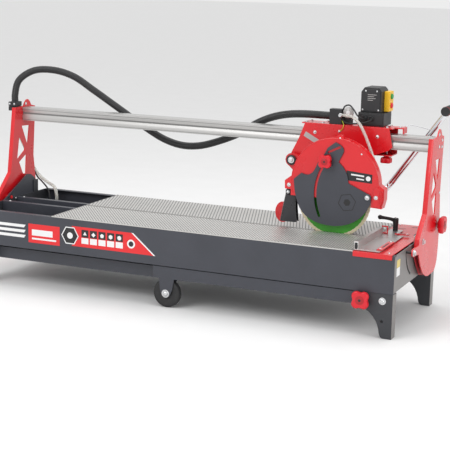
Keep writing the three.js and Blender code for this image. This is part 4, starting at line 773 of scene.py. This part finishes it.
# ---- bridge and towers
def bridge():
    refine("bridge_rail", RAIL_METAL, 0.6)
    refine("right_tower", RED, 1.0)
    refine("left_tower", RED, 1.0)
    low, high = cad("bridge_rail")
    bm = bmesh.new()
    # Dark strips on the rail's front: painted shade in its groove and along its top and bottom edges.
    mid = (low.z + high.z) / 2
    for bottom, top, depth in ((mid - 5.5, mid + 5.5, 3.7), (high.z - 8.2, high.z - 6.6, -0.15),
                               (low.z + 3.2, low.z + 4.6, -0.15)):
        add_box(bm, (-1545.5, 19.5), (low.y + depth, low.y + depth + 0.3), (bottom, top))
    make("rail_groove_shade", bm, GROOVE_SHADE, "bridge")
    right_out, left_in, left_out = 24, -1546, -1550
    places = [((right_out, 362, 596), RIGHT, 4.2, "dome"), ((left_in, 362, 597), RIGHT, 4.2, "dome")]
    for side, way in ((right_out, RIGHT), (left_out, LEFT)):
        places += [((side, y, z), way, 4.2, "dome") for y, z in ((400, 574), (400, 552), (366, 556))]
        places.append(((side, *TILT_PIVOT), way, 7, "hex"))
    places.append(((right_out, 398, 400), RIGHT, 3.6, "dome"))
    bolts("tower_bolts", "bridge", places)
    slot_radius, dip = 107, math.radians(8)
    guide = (TILT_PIVOT[0] - slot_radius * math.cos(dip), TILT_PIVOT[1] - slot_radius * math.sin(dip))
    bm = bmesh.new()
    add_bolt(bm, (right_out, *guide), RIGHT, 7.5, "hex")
    add_bolt(bm, (left_out, *guide), LEFT, 7.5, "hex")
    make("tilt_guide_bolts", bm, ZINC, "bridge")
    bm = bmesh.new()
    add_rod(bm, "x", 4, (-2.6, *guide), 24)
    add_rod(bm, "x", 4, (-1548, *guide), 20)
    make("tilt_guide_rods", bm, MOTOR_BLACK, "bridge")
    # The quadrant takes the paler red: painted light on its outward face.
    quadrant = [(186, 250), (178, 240), (222, 188), (262, 150), (331, 134), (352, 160), (352, 250)]
    bm = bmesh.new()
    add_prism(bm, quadrant, "yz", 5, 8)
    for y, z in ((240, 225), (320, 170), (320, 235)):
        add_rod(bm, "x", 6, (7.5, y, z), 13)
    make("tilt_quadrant", bm, LIT_RED, "bridge", 0.6)
    bm = bmesh.new()
    ring = [(4.2, -4), (6.4, -4), (6.4, 4), (4.2, 4)]
    add_lathe(bm, ring, (-1560, 410, 373), (0, 0.45, -1), 20, closed=True)
    add_box(bm, (-1556, -1550.2), (402, 418), (366, 378))
    make("cable_clip", bm, BLACK_PLASTIC, "bridge", 0.5)


def left_clamp():
    low, high = cad("left_conduit_clamp")
    split = (low.z + high.z) / 2
    bm = bmesh.new()
    add_box(bm, (low.x, high.x), (low.y, high.y), (low.z, split - 0.4))
    add_box(bm, (low.x, high.x), (low.y, high.y), (split + 0.4, high.z))
    piece = make("left_conduit_clamp_halves", bm, BLACK_PLASTIC, "bridge", 2.0, 3)
    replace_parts(piece, "left_conduit_clamp")
    bolts("left_clamp_screws", "bridge", [((low.x + 6, low.y, split + 9), FORWARD, 2.6, "dome"),
                                          ((high.x - 6, low.y, split + 9), FORWARD, 2.6, "dome")])


bridge()
left_clamp()


# ---- carriage
def carriage():
    refine("carriage_front_plate", RED, 1.2, 3)
    refine("carriage_saddle", RED, 1.0)
    refine("conduit_block", BLACK_PLASTIC, 2.0, 3)
    for name in ("left_roller", "right_roller"):
        refine(name, STEEL, 0.6)
    plate_face = 330.0
    places = [((x, plate_face, 578), FORWARD, 4.0, "dome") for x in (-391, -174)]
    places += [((x, y, 608), UP, 4.2, "hex") for x in (-425, -368, -146) for y in (344, 392)]
    places += [((-461, 299, 482), FORWARD, 7.5, "hex"), ((-110, 372, 608), UP, 4, "hex")]
    bolts("carriage_bolts", "carriage", places)
    bm = bmesh.new()
    add_lathe(bm, [(17, 0), (17, 2.2), (15.5, 3)], (-461, 301.6, 482), FORWARD, 40)
    make("plunge_pivot_washer", bm, BLACK_PLASTIC, "carriage")
    tilt = math.radians(-28)
    label = [(-431 + a * math.cos(tilt) - b * math.sin(tilt), 563 + a * math.sin(tilt) + b * math.cos(tilt))
             for a, b in rectangle(0, 0, 72, 17)]
    layer = (plate_face - 0.5, plate_face + 0.2)
    sticker("carriage_label", [label], "xz", layer, GREY_PLASTIC, "carriage")
    wire = [(-98, 380, 612), (-80, 382, 617), (-40, 386, 611), (-12, 388, 605)]
    lead("transport_wire", [wire], 4, 1.2, STEEL, 10)


def switch_box():
    low, high = cad("switch_box")
    base_top = 652.3
    front = 352.0
    left, right = low.x + 6, high.x - 12
    bm = bmesh.new()
    add_box(bm, (low.x, high.x), (front, high.y), (low.z, base_top))
    add_box(bm, (low.x + 3, high.x - 3), (front - 1.6, front + 1), (low.z + 4, base_top - 4))
    base = make("switch_box_base", bm, BLACK_PLASTIC, "carriage", 2.2, 3)
    bm = bmesh.new()
    top = high.z
    outline = [(left, base_top + 0.4), (right, base_top + 0.4), (right, top - 11), (right - 9, top),
               (left + 11, top), (left, top - 15)]
    add_prism(bm, outline, "xz", front + 4, high.y - 6)
    make("switch_box_body", bm, BLACK_PLASTIC, "carriage", 2.6, 3)
    bm = bmesh.new()
    inner = [(left + 4, base_top + 5), (right - 4, base_top + 5), (right - 4, top - 13),
             (right - 11, top - 5), (left + 13, top - 5), (left + 4, top - 17)]
    add_prism(bm, inner, "xz", front + 1.2, front + 6)
    make("switch_box_lid", bm, BLACK_PLASTIC, "carriage", 1.6, 3)
    bm = bmesh.new()
    for x in (left + 16, left + 39):
        at = (x, front - 1.4, low.z + 25)
        add_lathe(bm, [(10.5, 0), (10.5, 3), (9.4, 5.5), (6, 5.5), (6, 1.6), (3, 1.6)], at, FORWARD, 32)
    make("switch_box_glands", bm, MOTOR_BLACK, "carriage", 0.4)
    corners = ((left + 8, base_top + 9), (right - 8, base_top + 9), (left + 17, top - 11),
               (right - 15, top - 11))
    bolts("switch_box_screws", "carriage", [((x, front + 1.2, z), FORWARD, 2.0, "dome") for x, z in corners])
    bm = bmesh.new()
    for i, long in enumerate((30, 22, 27, 18)):
        z = top - 24 - 6 * i
        add_box(bm, (left + 24, left + 24 + long), (front + 0.8, front + 1.4), (z, z + 1.6))
    make("switch_box_lines", bm, GREY_PLASTIC, "carriage")
    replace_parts(base, "switch_box")


def carriage_wiring():
    """The short fixed leads between the conduit block and the switch box."""
    lead("carriage_leads", [
        [(-303, 352, 655), (-296, 350, 668), (-280, 348, 673), (-262, 340, 660), (-244, 330, 642),
         (-229, 330, 634), (-222, 346, 634)],
        [(-303, 345, 628), (-290, 334, 618), (-262, 322, 616), (-226, 324, 620), (-202, 332, 628),
         (-202, 346, 634)]], 3, 2.6, RUBBER)
    earth = [(-303, 345, 620), (-296, 331, 619), (-290, 326, 608), (-295, 326, 594), (-304, 328.6, 588)]
    lead("earth_lead", [earth], 2, 1.3, EARTH_WIRE, 10)
    bolts("earth_screw", "carriage", [((-305, 330, 586), FORWARD, 3.2, "dome")])


def switch_controls():
    refine("switch_panel", YELLOW, 2.4, 3)
    low, high = cad("switch_panel")
    middle = (low.y + high.y) / 2
    for name, material in (("start_button", GREEN_PLASTIC), ("stop_button", RED_PLASTIC)):
        bottom, top = cad(name)
        at = (bottom.x, middle, (bottom.z + top.z) / 2)
        reach = top.x - bottom.x
        bm = bmesh.new()
        profile = [(8.9, 0), (8.9, reach - 2), (8.4, reach - 0.8), (7.2, reach - 0.1), (5.2, reach - 0.9),
                   (2.0, reach - 1.1)]
        add_lathe(bm, profile, at, RIGHT, 32)
        piece = make(f"{name}_cap", bm, material, frame["nodes"][name]["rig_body"])
        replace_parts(piece, name)
    bm = bmesh.new()
    add_box(bm, (low.x + 1, high.x - 1), (high.y, high.y + 3), (low.z + 6, high.z - 6))
    for z in (low.z + 12, high.z - 12):
        add_rod(bm, "z", 3, (low.x + 9, high.y + 3.4, z - 6), 12)
    make("switch_flap_hinge", bm, YELLOW, "carriage", 0.8)


def water_valve():
    low, high = cad("water_valve_knob")
    middle = (low + high) / 2
    radius = (high.x - low.x) / 2
    bm = bmesh.new()

    def ridged(angle):
        return 1 - 0.035 * (0.5 + 0.5 * math.cos(24 * angle))

    profile = [(radius * 0.9, 0), (radius, 1.4), (radius, 7.4), (radius * 0.92, 9), (radius * 0.5, 9),
               (radius * 0.44, 7.6)]
    add_lathe(bm, profile, (middle.x, high.y, middle.z), FORWARD, 96, radius_at=ridged)
    piece = make("water_valve_dial", bm, GREY_PLASTIC, "valve", sharp=50)
    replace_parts(piece, "water_valve_knob")
    bm = bmesh.new()
    add_rod(bm, "y", 7.5, (middle.x, low.y - 0.1, middle.z), 2)
    add_box(bm, (middle.x - 1, middle.x + 1), (low.y - 0.5, low.y + 1), (middle.z + 4, middle.z + 15))
    make("water_valve_pointer", bm, WHITE_INK, "valve")
    bm = bmesh.new()
    add_lathe(bm, [(7.5, 0), (7.5, 6), (6.4, 7), (6.4, 12)], (-303.5, 335.8, 640), FORWARD, 6)
    make("head_hose_nut", bm, ZINC, "carriage", 0.4)


carriage()
switch_box()
carriage_wiring()
switch_controls()
water_valve()

# ---- cutting head
BLADE_AT = (-279, 228, (cad("blade")[0].z + cad("blade")[1].z) / 2)
COVER_HINGE = (BLADE_AT[0] + 119, BLADE_AT[2] + 20)
GUARD_FRONT, GUARD_BACK = 210.5, 245.5


def head():
    refine("head_arm", RED, 2.0, 3)
    refine("blade_guard", RED, 1.0, 3)
    refine("side_cover", SLATE, 0.5)
    x, _, z = BLADE_AT
    bead, centre = 1.5, (x + 4, z + 54)
    front = cad("side_cover")[1].y + bead + 0.4
    for name, y, first in (("guard_bead_front", front, -10), ("guard_bead_back", GUARD_BACK, -14)):
        line = [(p[0], y, p[1]) for p in arc(centre, 148.6, first, 196, 96)]
        bm = bmesh.new()
        add_tube(bm, line, bead, 8)
        make(name, bm, RED, "head")
    rib = arc(centre, 151.2, 20, 160, 48) + arc(centre, 149.6, 160, 20, 48)
    sticker("guard_seam", [rib], "xz", (226.5, 229.5), RED, "head")
    bm = bmesh.new()
    boss = [(x + 138, z - 8), (x + 162, z - 10), (x + 169, z + 14), (x + 169, z + 47), (x + 152, z + 57),
            (x + 138, z + 50)]
    add_prism(bm, boss, "xz", GUARD_FRONT - 3.5, GUARD_FRONT + 0.5)
    for offset in (0, 5, 10):
        add_box(bm, (x + 157 + offset, x + 159.4 + offset), (GUARD_FRONT - 5, GUARD_FRONT), (z - 4, z + 46))
    make("guard_lug_boss", bm, RED, "head", 1.1, 3)
    places = [((x + 147, GUARD_FRONT - 3.5, z + 22), FORWARD, 4.6, "hex"),
              ((x - 153, GUARD_FRONT, z + 38), FORWARD, 4.6, "hex"),
              ((x + 18, GUARD_FRONT + 3, z + 204), FORWARD, 4.6, "dome"),
              ((x + 92, GUARD_FRONT + 2, z + 158), FORWARD, 3.6, "dome")]
    bolts("guard_bolts", "head", places)
    bolts("cover_hinge_bolt", "head", [((COVER_HINGE[0], 203.2, COVER_HINGE[1]), FORWARD, 5.4, "hex")])
    edge = [(x + 48, z + 70), (x + 131, z + 66), (x + 131, z + 95), (x + 44, z + 102)]
    sticker("guard_label", [edge], "xz", (GUARD_FRONT - 0.5, GUARD_FRONT + 0.2), BLACK_INK, "head")
    marks = [[(x + 60, z + 88), (x + 104, z + 85), (x + 104, z + 90), (x + 60, z + 93)],
             [(x + 78, z + 76), (x + 104, z + 74), (x + 104, z + 78), (x + 78, z + 80)],
             disc((x + 118, z + 81), 8)]
    sticker("guard_label_marks", marks, "xz", (GUARD_FRONT - 0.7, GUARD_FRONT), WHITE_INK, "head")


def cover_marks():
    """A plain hexagon outline on the side cover, and its hinge washer."""
    face = cad("side_cover")[0].y
    centre = (BLADE_AT[0] + 51, BLADE_AT[2] - 2)
    outer, inner = arc(centre, 31, 10, 370, 6), arc(centre, 28.6, 10, 370, 6)
    marks = [[outer[i], outer[i + 1], inner[i + 1], inner[i]] for i in range(6)]
    marks.append(arc(centre, 12, 10, 310, 5))
    sticker("cover_outline", marks, "xz", (face - 0.35, face + 0.2), BLACK_INK, "cover")
    bm = bmesh.new()
    add_lathe(bm, [(13, 0), (13, 1.6), (11.6, 2.4)], (COVER_HINGE[0], face, COVER_HINGE[1]), FORWARD, 32)
    make("cover_hinge_washer", bm, SLATE, "cover")


def skirt():
    """The rubber splash skirt: a bent sheet that closes the left of the blade, with a clamping strip."""
    low, high = cad("splash_skirt")
    x = BLADE_AT[0]
    wall, bend = 3.0, 14.0
    front, back = low.y + 0.6, high.y - 0.6
    rings = []
    for t in (0.0, 0.06, 0.175, 0.19, 0.4, 0.6, 0.8, 0.94, 1.0):
        far = x - 166 - 21 * t**1.3
        near = x - 132 + 6 * t if t > 0.18 else x - 147
        one, two = (far + bend, front + bend), (far + bend, back - bend)
        outer = [(near, front + 5), (near - 8, front + 2)] + arc(one, bend, 270, 180, 5)
        outer += arc(two, bend, 180, 90, 5) + [(near, back)]
        inner = [(near, back - wall)] + arc(two, bend - wall, 90, 180, 5)
        inner += arc(one, bend - wall, 180, 270, 5)
        inner += [(near - 8, front + 2 + wall), (near, front + 5 + wall)]
        height = high.z + (low.z - high.z) * t
        belly = 2.4 * math.sin(math.pi * t)
        rings.append([(px - belly, py, height) for px, py in outer + inner])
    bm = bmesh.new()
    add_rings(bm, rings)
    piece = make("splash_skirt_sheet", bm, SKIRT_RUBBER, "head", 0.8)
    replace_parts(piece, "splash_skirt")
    block("skirt_strip", (x - 164, x - 148), (low.y - 2.2, low.y + 0.8), (high.z - 17, high.z - 3),
          BLACK_PLASTIC, "head", 0.8)
    bolts("skirt_screw", "head", [((x - 156, low.y - 2.2, high.z - 10), FORWARD, 3.6, "dome")])


def rear_deflector():
    """The red deflector behind the skirt, on a strap from the guard's back."""
    bm = bmesh.new()
    for share, near in ((1, 258), (0.7, 254)):
        rim = [(-470 + share * 27 * math.cos(t), 311 + share * 35 * math.sin(t))
               for t in (math.tau * i / 36 for i in range(36))]
        add_prism(bm, rim, "xz", near, 262)
    add_prism(bm, [(-452, 330), (-420, 392), (-408, 392), (-440, 322)], "xz", 257, 260)
    add_box(bm, (-421, -408), (245.6, 260), (384, 396))
    make("rear_deflector", bm, RED, "head", 1.2, 3)


def motor():
    low, high = cad("motor_housing")
    middle = (low + high) / 2
    at = (middle.x, low.y, middle.z)
    radius = (high.x - low.x) / 2
    length = high.y - low.y
    bm = bmesh.new()

    def finned(angle):
        return 1 - 0.045 * max(0.0, math.cos(28 * angle)) ** 0.6

    shell = [(radius * 0.93, 0), (radius * 0.985, 2), (radius, 8), (radius, length * 0.30)]
    add_lathe(bm, shell, at, BACK, 64)
    fins = bmesh.new()
    profile = [(radius * 0.97, length * 0.30), (radius * 0.99, length * 0.32), (radius * 0.99, length * 0.76),
               (radius * 0.97, length * 0.78)]
    add_lathe(fins, profile, at, BACK, 224, radius_at=finned)
    make("motor_fins", fins, MOTOR_BLACK, "head", sharp=60)
    back_cap = [(radius, length * 0.78), (radius, length - 9), (radius * 0.96, length - 3),
                (radius * 0.88, length)]
    add_lathe(bm, back_cap, at, BACK, 64)
    piece = make("motor_casing", bm, MOTOR_BLACK, "head", 0.6)
    # Black strips on the motor's back for its vents: painted shade in the openings.
    bm = bmesh.new()
    for aside in (-24, -12, 0, 12, 24):
        half = math.sqrt((radius * 0.72) ** 2 - aside**2)
        x = middle.x + aside
        add_box(bm, (x - 3, x + 3), (high.y - 0.6, high.y + 0.3), (middle.z - half, middle.z + half))
    make("motor_vent_shade", bm, BLACK_INK, "head")
    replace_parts(piece, "motor_housing")


def blade():
    bm = bmesh.new()
    core = [(12.6, -1.1), (116, -1.1), (116, 1.1), (12.6, 1.1)]
    add_lathe(bm, core, BLADE_AT, BACK, 96, closed=True)
    piece = make("blade_disc", bm, GREEN, "blade_set")
    bm = bmesh.new()

    def notched(angle):
        return 1 - (0.008 if math.sin(48 * angle) > 0.8 else 0.0)

    rim = [(115.2, -1.6), (124.2, -1.6), (125, -1.0), (125, 1.0), (124.2, 1.6), (115.2, 1.6)]
    add_lathe(bm, rim, BLADE_AT, BACK, 288, closed=True, radius_at=notched)
    make("blade_rim_ring", bm, ABRASIVE, "blade_set")
    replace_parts(piece, "blade")
    refine("arbor_shaft", STEEL, 0.5)
    refine("arbor_nut", STEEL, 0.6)


def handle():
    low = cad("handle_tube")[0]
    stub = Vector((BLADE_AT[0] + 113, 430, BLADE_AT[2] + 12))
    grip_low, grip_high = cad("handle_grip")
    grip = Vector(((grip_low.x + grip_high.x) / 2, 430, (grip_low.z + grip_high.z) / 2))
    rise = (grip - stub).normalized()
    bend = 40
    start = Vector((stub.x, low.y, stub.z))
    before, after = stub - Vector((0, bend, 0)), stub + rise * bend
    curve = []
    for i in range(13):
        t = i / 12
        curve.append((1 - t) ** 2 * before + 2 * t * (1 - t) * stub + t * t * after)
    bm = bmesh.new()
    add_tube(bm, [start, (start + before) / 2, *curve, (after + grip) / 2, grip - rise * 15.8], 11, 32)
    piece = make("handle_tube_bent", bm, CHROME, "head")
    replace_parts(piece, "handle_tube")
    bm = bmesh.new()
    add_lathe(bm, [(15.6, 0), (16.4, 1.5), (16.4, 12), (15.2, 14)], start - Vector((0, 0.2, 0)), BACK, 32)
    make("handle_collar", bm, RED, "head", 0.4)
    radius = (grip_high.x - grip_low.x) / 2
    length = grip_high.y - grip_low.y
    profile = [(radius * 0.7, 0.6), (radius * 0.9, 0), (radius, 2.4), (radius, 9)]
    ribs = 17
    step = (length - 20) / ribs
    for i in range(ribs):
        y = 10 + step * i
        profile += [(radius - inset, y + step * share) for inset, share in
                    ((1.1, 0.1), (1.1, 0.35), (0.1, 0.5), (0.1, 0.95))]
    profile += [(radius, length - 9), (radius, length - 2.4), (radius * 0.9, length),
                (radius * 0.7, length - 0.6)]
    bm = bmesh.new()
    add_lathe(bm, profile, (grip.x, grip_low.y, grip.z), BACK, 40)
    piece = make("handle_grip_sleeve", bm, RUBBER, "head")
    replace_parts(piece, "handle_grip")
    bm = bmesh.new()
    for y in (grip_low.y + 5.5, grip_high.y - 7):
        add_lathe(bm, [(radius - 0.6, 0), (radius + 0.35, 0), (radius + 0.35, 1.6), (radius - 0.6, 1.6)],
                  (grip.x, y, grip.z), BACK, 40, closed=True)
    make("handle_grip_rings", bm, RED_PLASTIC, "head")


head()
cover_marks()
skirt()
rear_deflector()
motor()
blade()
handle()


# ---- fence
def fence():
    refine("fence", RAIL_METAL, 0.6)
    low, high = cad("fence")
    upright = (low.x, low.x + 14)
    base_top = low.z + 3.5
    bm = bmesh.new()
    add_box(bm, (upright[0] + 2.5, upright[1] - 2.5), (low.y - 1.4, low.y + 1), (low.z + 3, high.z - 3))
    add_rod(bm, "y", 4.6, ((upright[0] + upright[1]) / 2, low.y - 3, (low.z + high.z) / 2), 4)
    make("fence_end_plug", bm, BLACK_PLASTIC, "fence_body", 0.5)
    bm = bmesh.new()
    add_box(bm, (low.x + 1.2, low.x + 12.8), (low.y - 1.0, low.y + 0.5), (high.z - 9, high.z - 1))
    add_box(bm, (low.x + 1.2, low.x + 12.8), (low.y - 1.0, low.y + 0.5), (low.z + 1, low.z + 6))
    make("fence_end_slider", bm, WHITE_INK, "fence_body", 0.4)
    bars = ((-66, 22, -48, 152), (-84, 276, -38, 290))
    bm = bmesh.new()
    for x0, y0, x1, y1 in bars:
        add_box(bm, (x0, x1), (y0, y1), (base_top, base_top + 3.2))
    outline = rectangle(-128, base_top, -106, base_top + 26)
    hole = rectangle(-124, base_top + 4, -110, base_top + 22)
    for k in range(4):
        j = (k + 1) % 4
        add_prism(bm, [outline[k], outline[j], hole[j], hole[k]], "xz", 272, 275)
    make("fence_brackets", bm, RED, "fence_body", 0.6)
    # Black strips on the bracket bars for their slots: painted shade in the openings.
    bm = bmesh.new()
    for x0, y0, x1, y1 in bars:
        x, y = (x0 + x1) / 2, (y0 + y1) / 2
        half_x, half_y = (2.5, (y1 - y0) / 4) if y1 - y0 > x1 - x0 else ((x1 - x0) / 4, 2.5)
        add_box(bm, (x - half_x, x + half_x), (y - half_y, y + half_y), (base_top + 3.0, base_top + 3.45))
    make("fence_slot_shade", bm, BLACK_INK, "fence_body")
    places = [((x, y, base_top + 3.2), UP, radius, "dome") for x, y, radius in
              ((-57, 32, 3.4), (-57, 143, 3.4), (-78, 283, 3.0), (-44, 283, 3.0))]
    bolts("fence_screws", "fence_body", places)


def fence_lever():
    low, high = cad("fence_lever")
    post_x, post_y = -100.3, (low.y + high.y) / 2
    bottom = low.z
    top = bottom + 37
    bm = bmesh.new()
    profile = [(8.4, 0), (8.4, 20), (9.4, 24), (9.6, 38), (8.6, 41), (5, 42.4)]
    add_lathe(bm, profile, (post_x, post_y, bottom), UP, 32)
    arm = smooth_path([(post_x - out, post_y, top + rise) for out, rise in
                       ((0, -6), (14, -1), (30, 1), (48, 2), (61, 3))], 4)
    count = len(arm)
    radii = [7.6 - 2.3 * math.sin(math.pi * i / (count - 1)) ** 0.8 + (0.8 if i > count - 4 else 0)
             for i in range(count)]
    radii[-1] = 3.2
    add_tube(bm, arm, radii, 20)
    piece = make("fence_lever_handle", bm, BLACK_PLASTIC, "lever")
    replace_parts(piece, "fence_lever")
    bolts("fence_lever_screw", "lever", [((post_x, post_y, bottom + 42), UP, 3.4, "dome")])


fence()
fence_lever()


# ---- studio
def studio():
    scene.view_settings.view_transform = "Standard"
    bm = bmesh.new()
    reach = 30000
    add_box(bm, (-reach, reach), (-reach, reach), (-20, -0.5))
    paper = surface("floor_paper", "grey_paint", (0.86, 0.86, 0.86), rough=0.9, mottle=0.01, bump=0.0)
    place_mesh("floor", bm, paper)
    world = bpy.data.worlds.new("studio")
    scene.world = world
    world.use_nodes = True
    background = world.node_tree.nodes["Background"]
    background.inputs["Color"].default_value = (1, 1, 1, 1)
    background.inputs["Strength"].default_value = 0.85
    for name, at, target, size, power in (
        ("key", (-1900, -2600, 2700), (-700, 240, 300), 2.2, 42),
        ("right_fill", (2100, -700, 1500), (-300, 240, 350), 1.6, 14),
        ("top", (-500, 500, 3200), (-700, 240, 250), 2.6, 26),
    ):
        data = bpy.data.lights.new(name, "AREA")
        data.shape = "DISK"
        data.size = size
        data.energy = power
        lamp = bpy.data.objects.new(name, data)
        scene.collection.objects.link(lamp)
        look = (Vector(target) - Vector(at)).to_track_quat("-Z", "Y").to_matrix().to_4x4()
        lamp.matrix_world = Matrix.Translation(row(at)) @ look


studio()
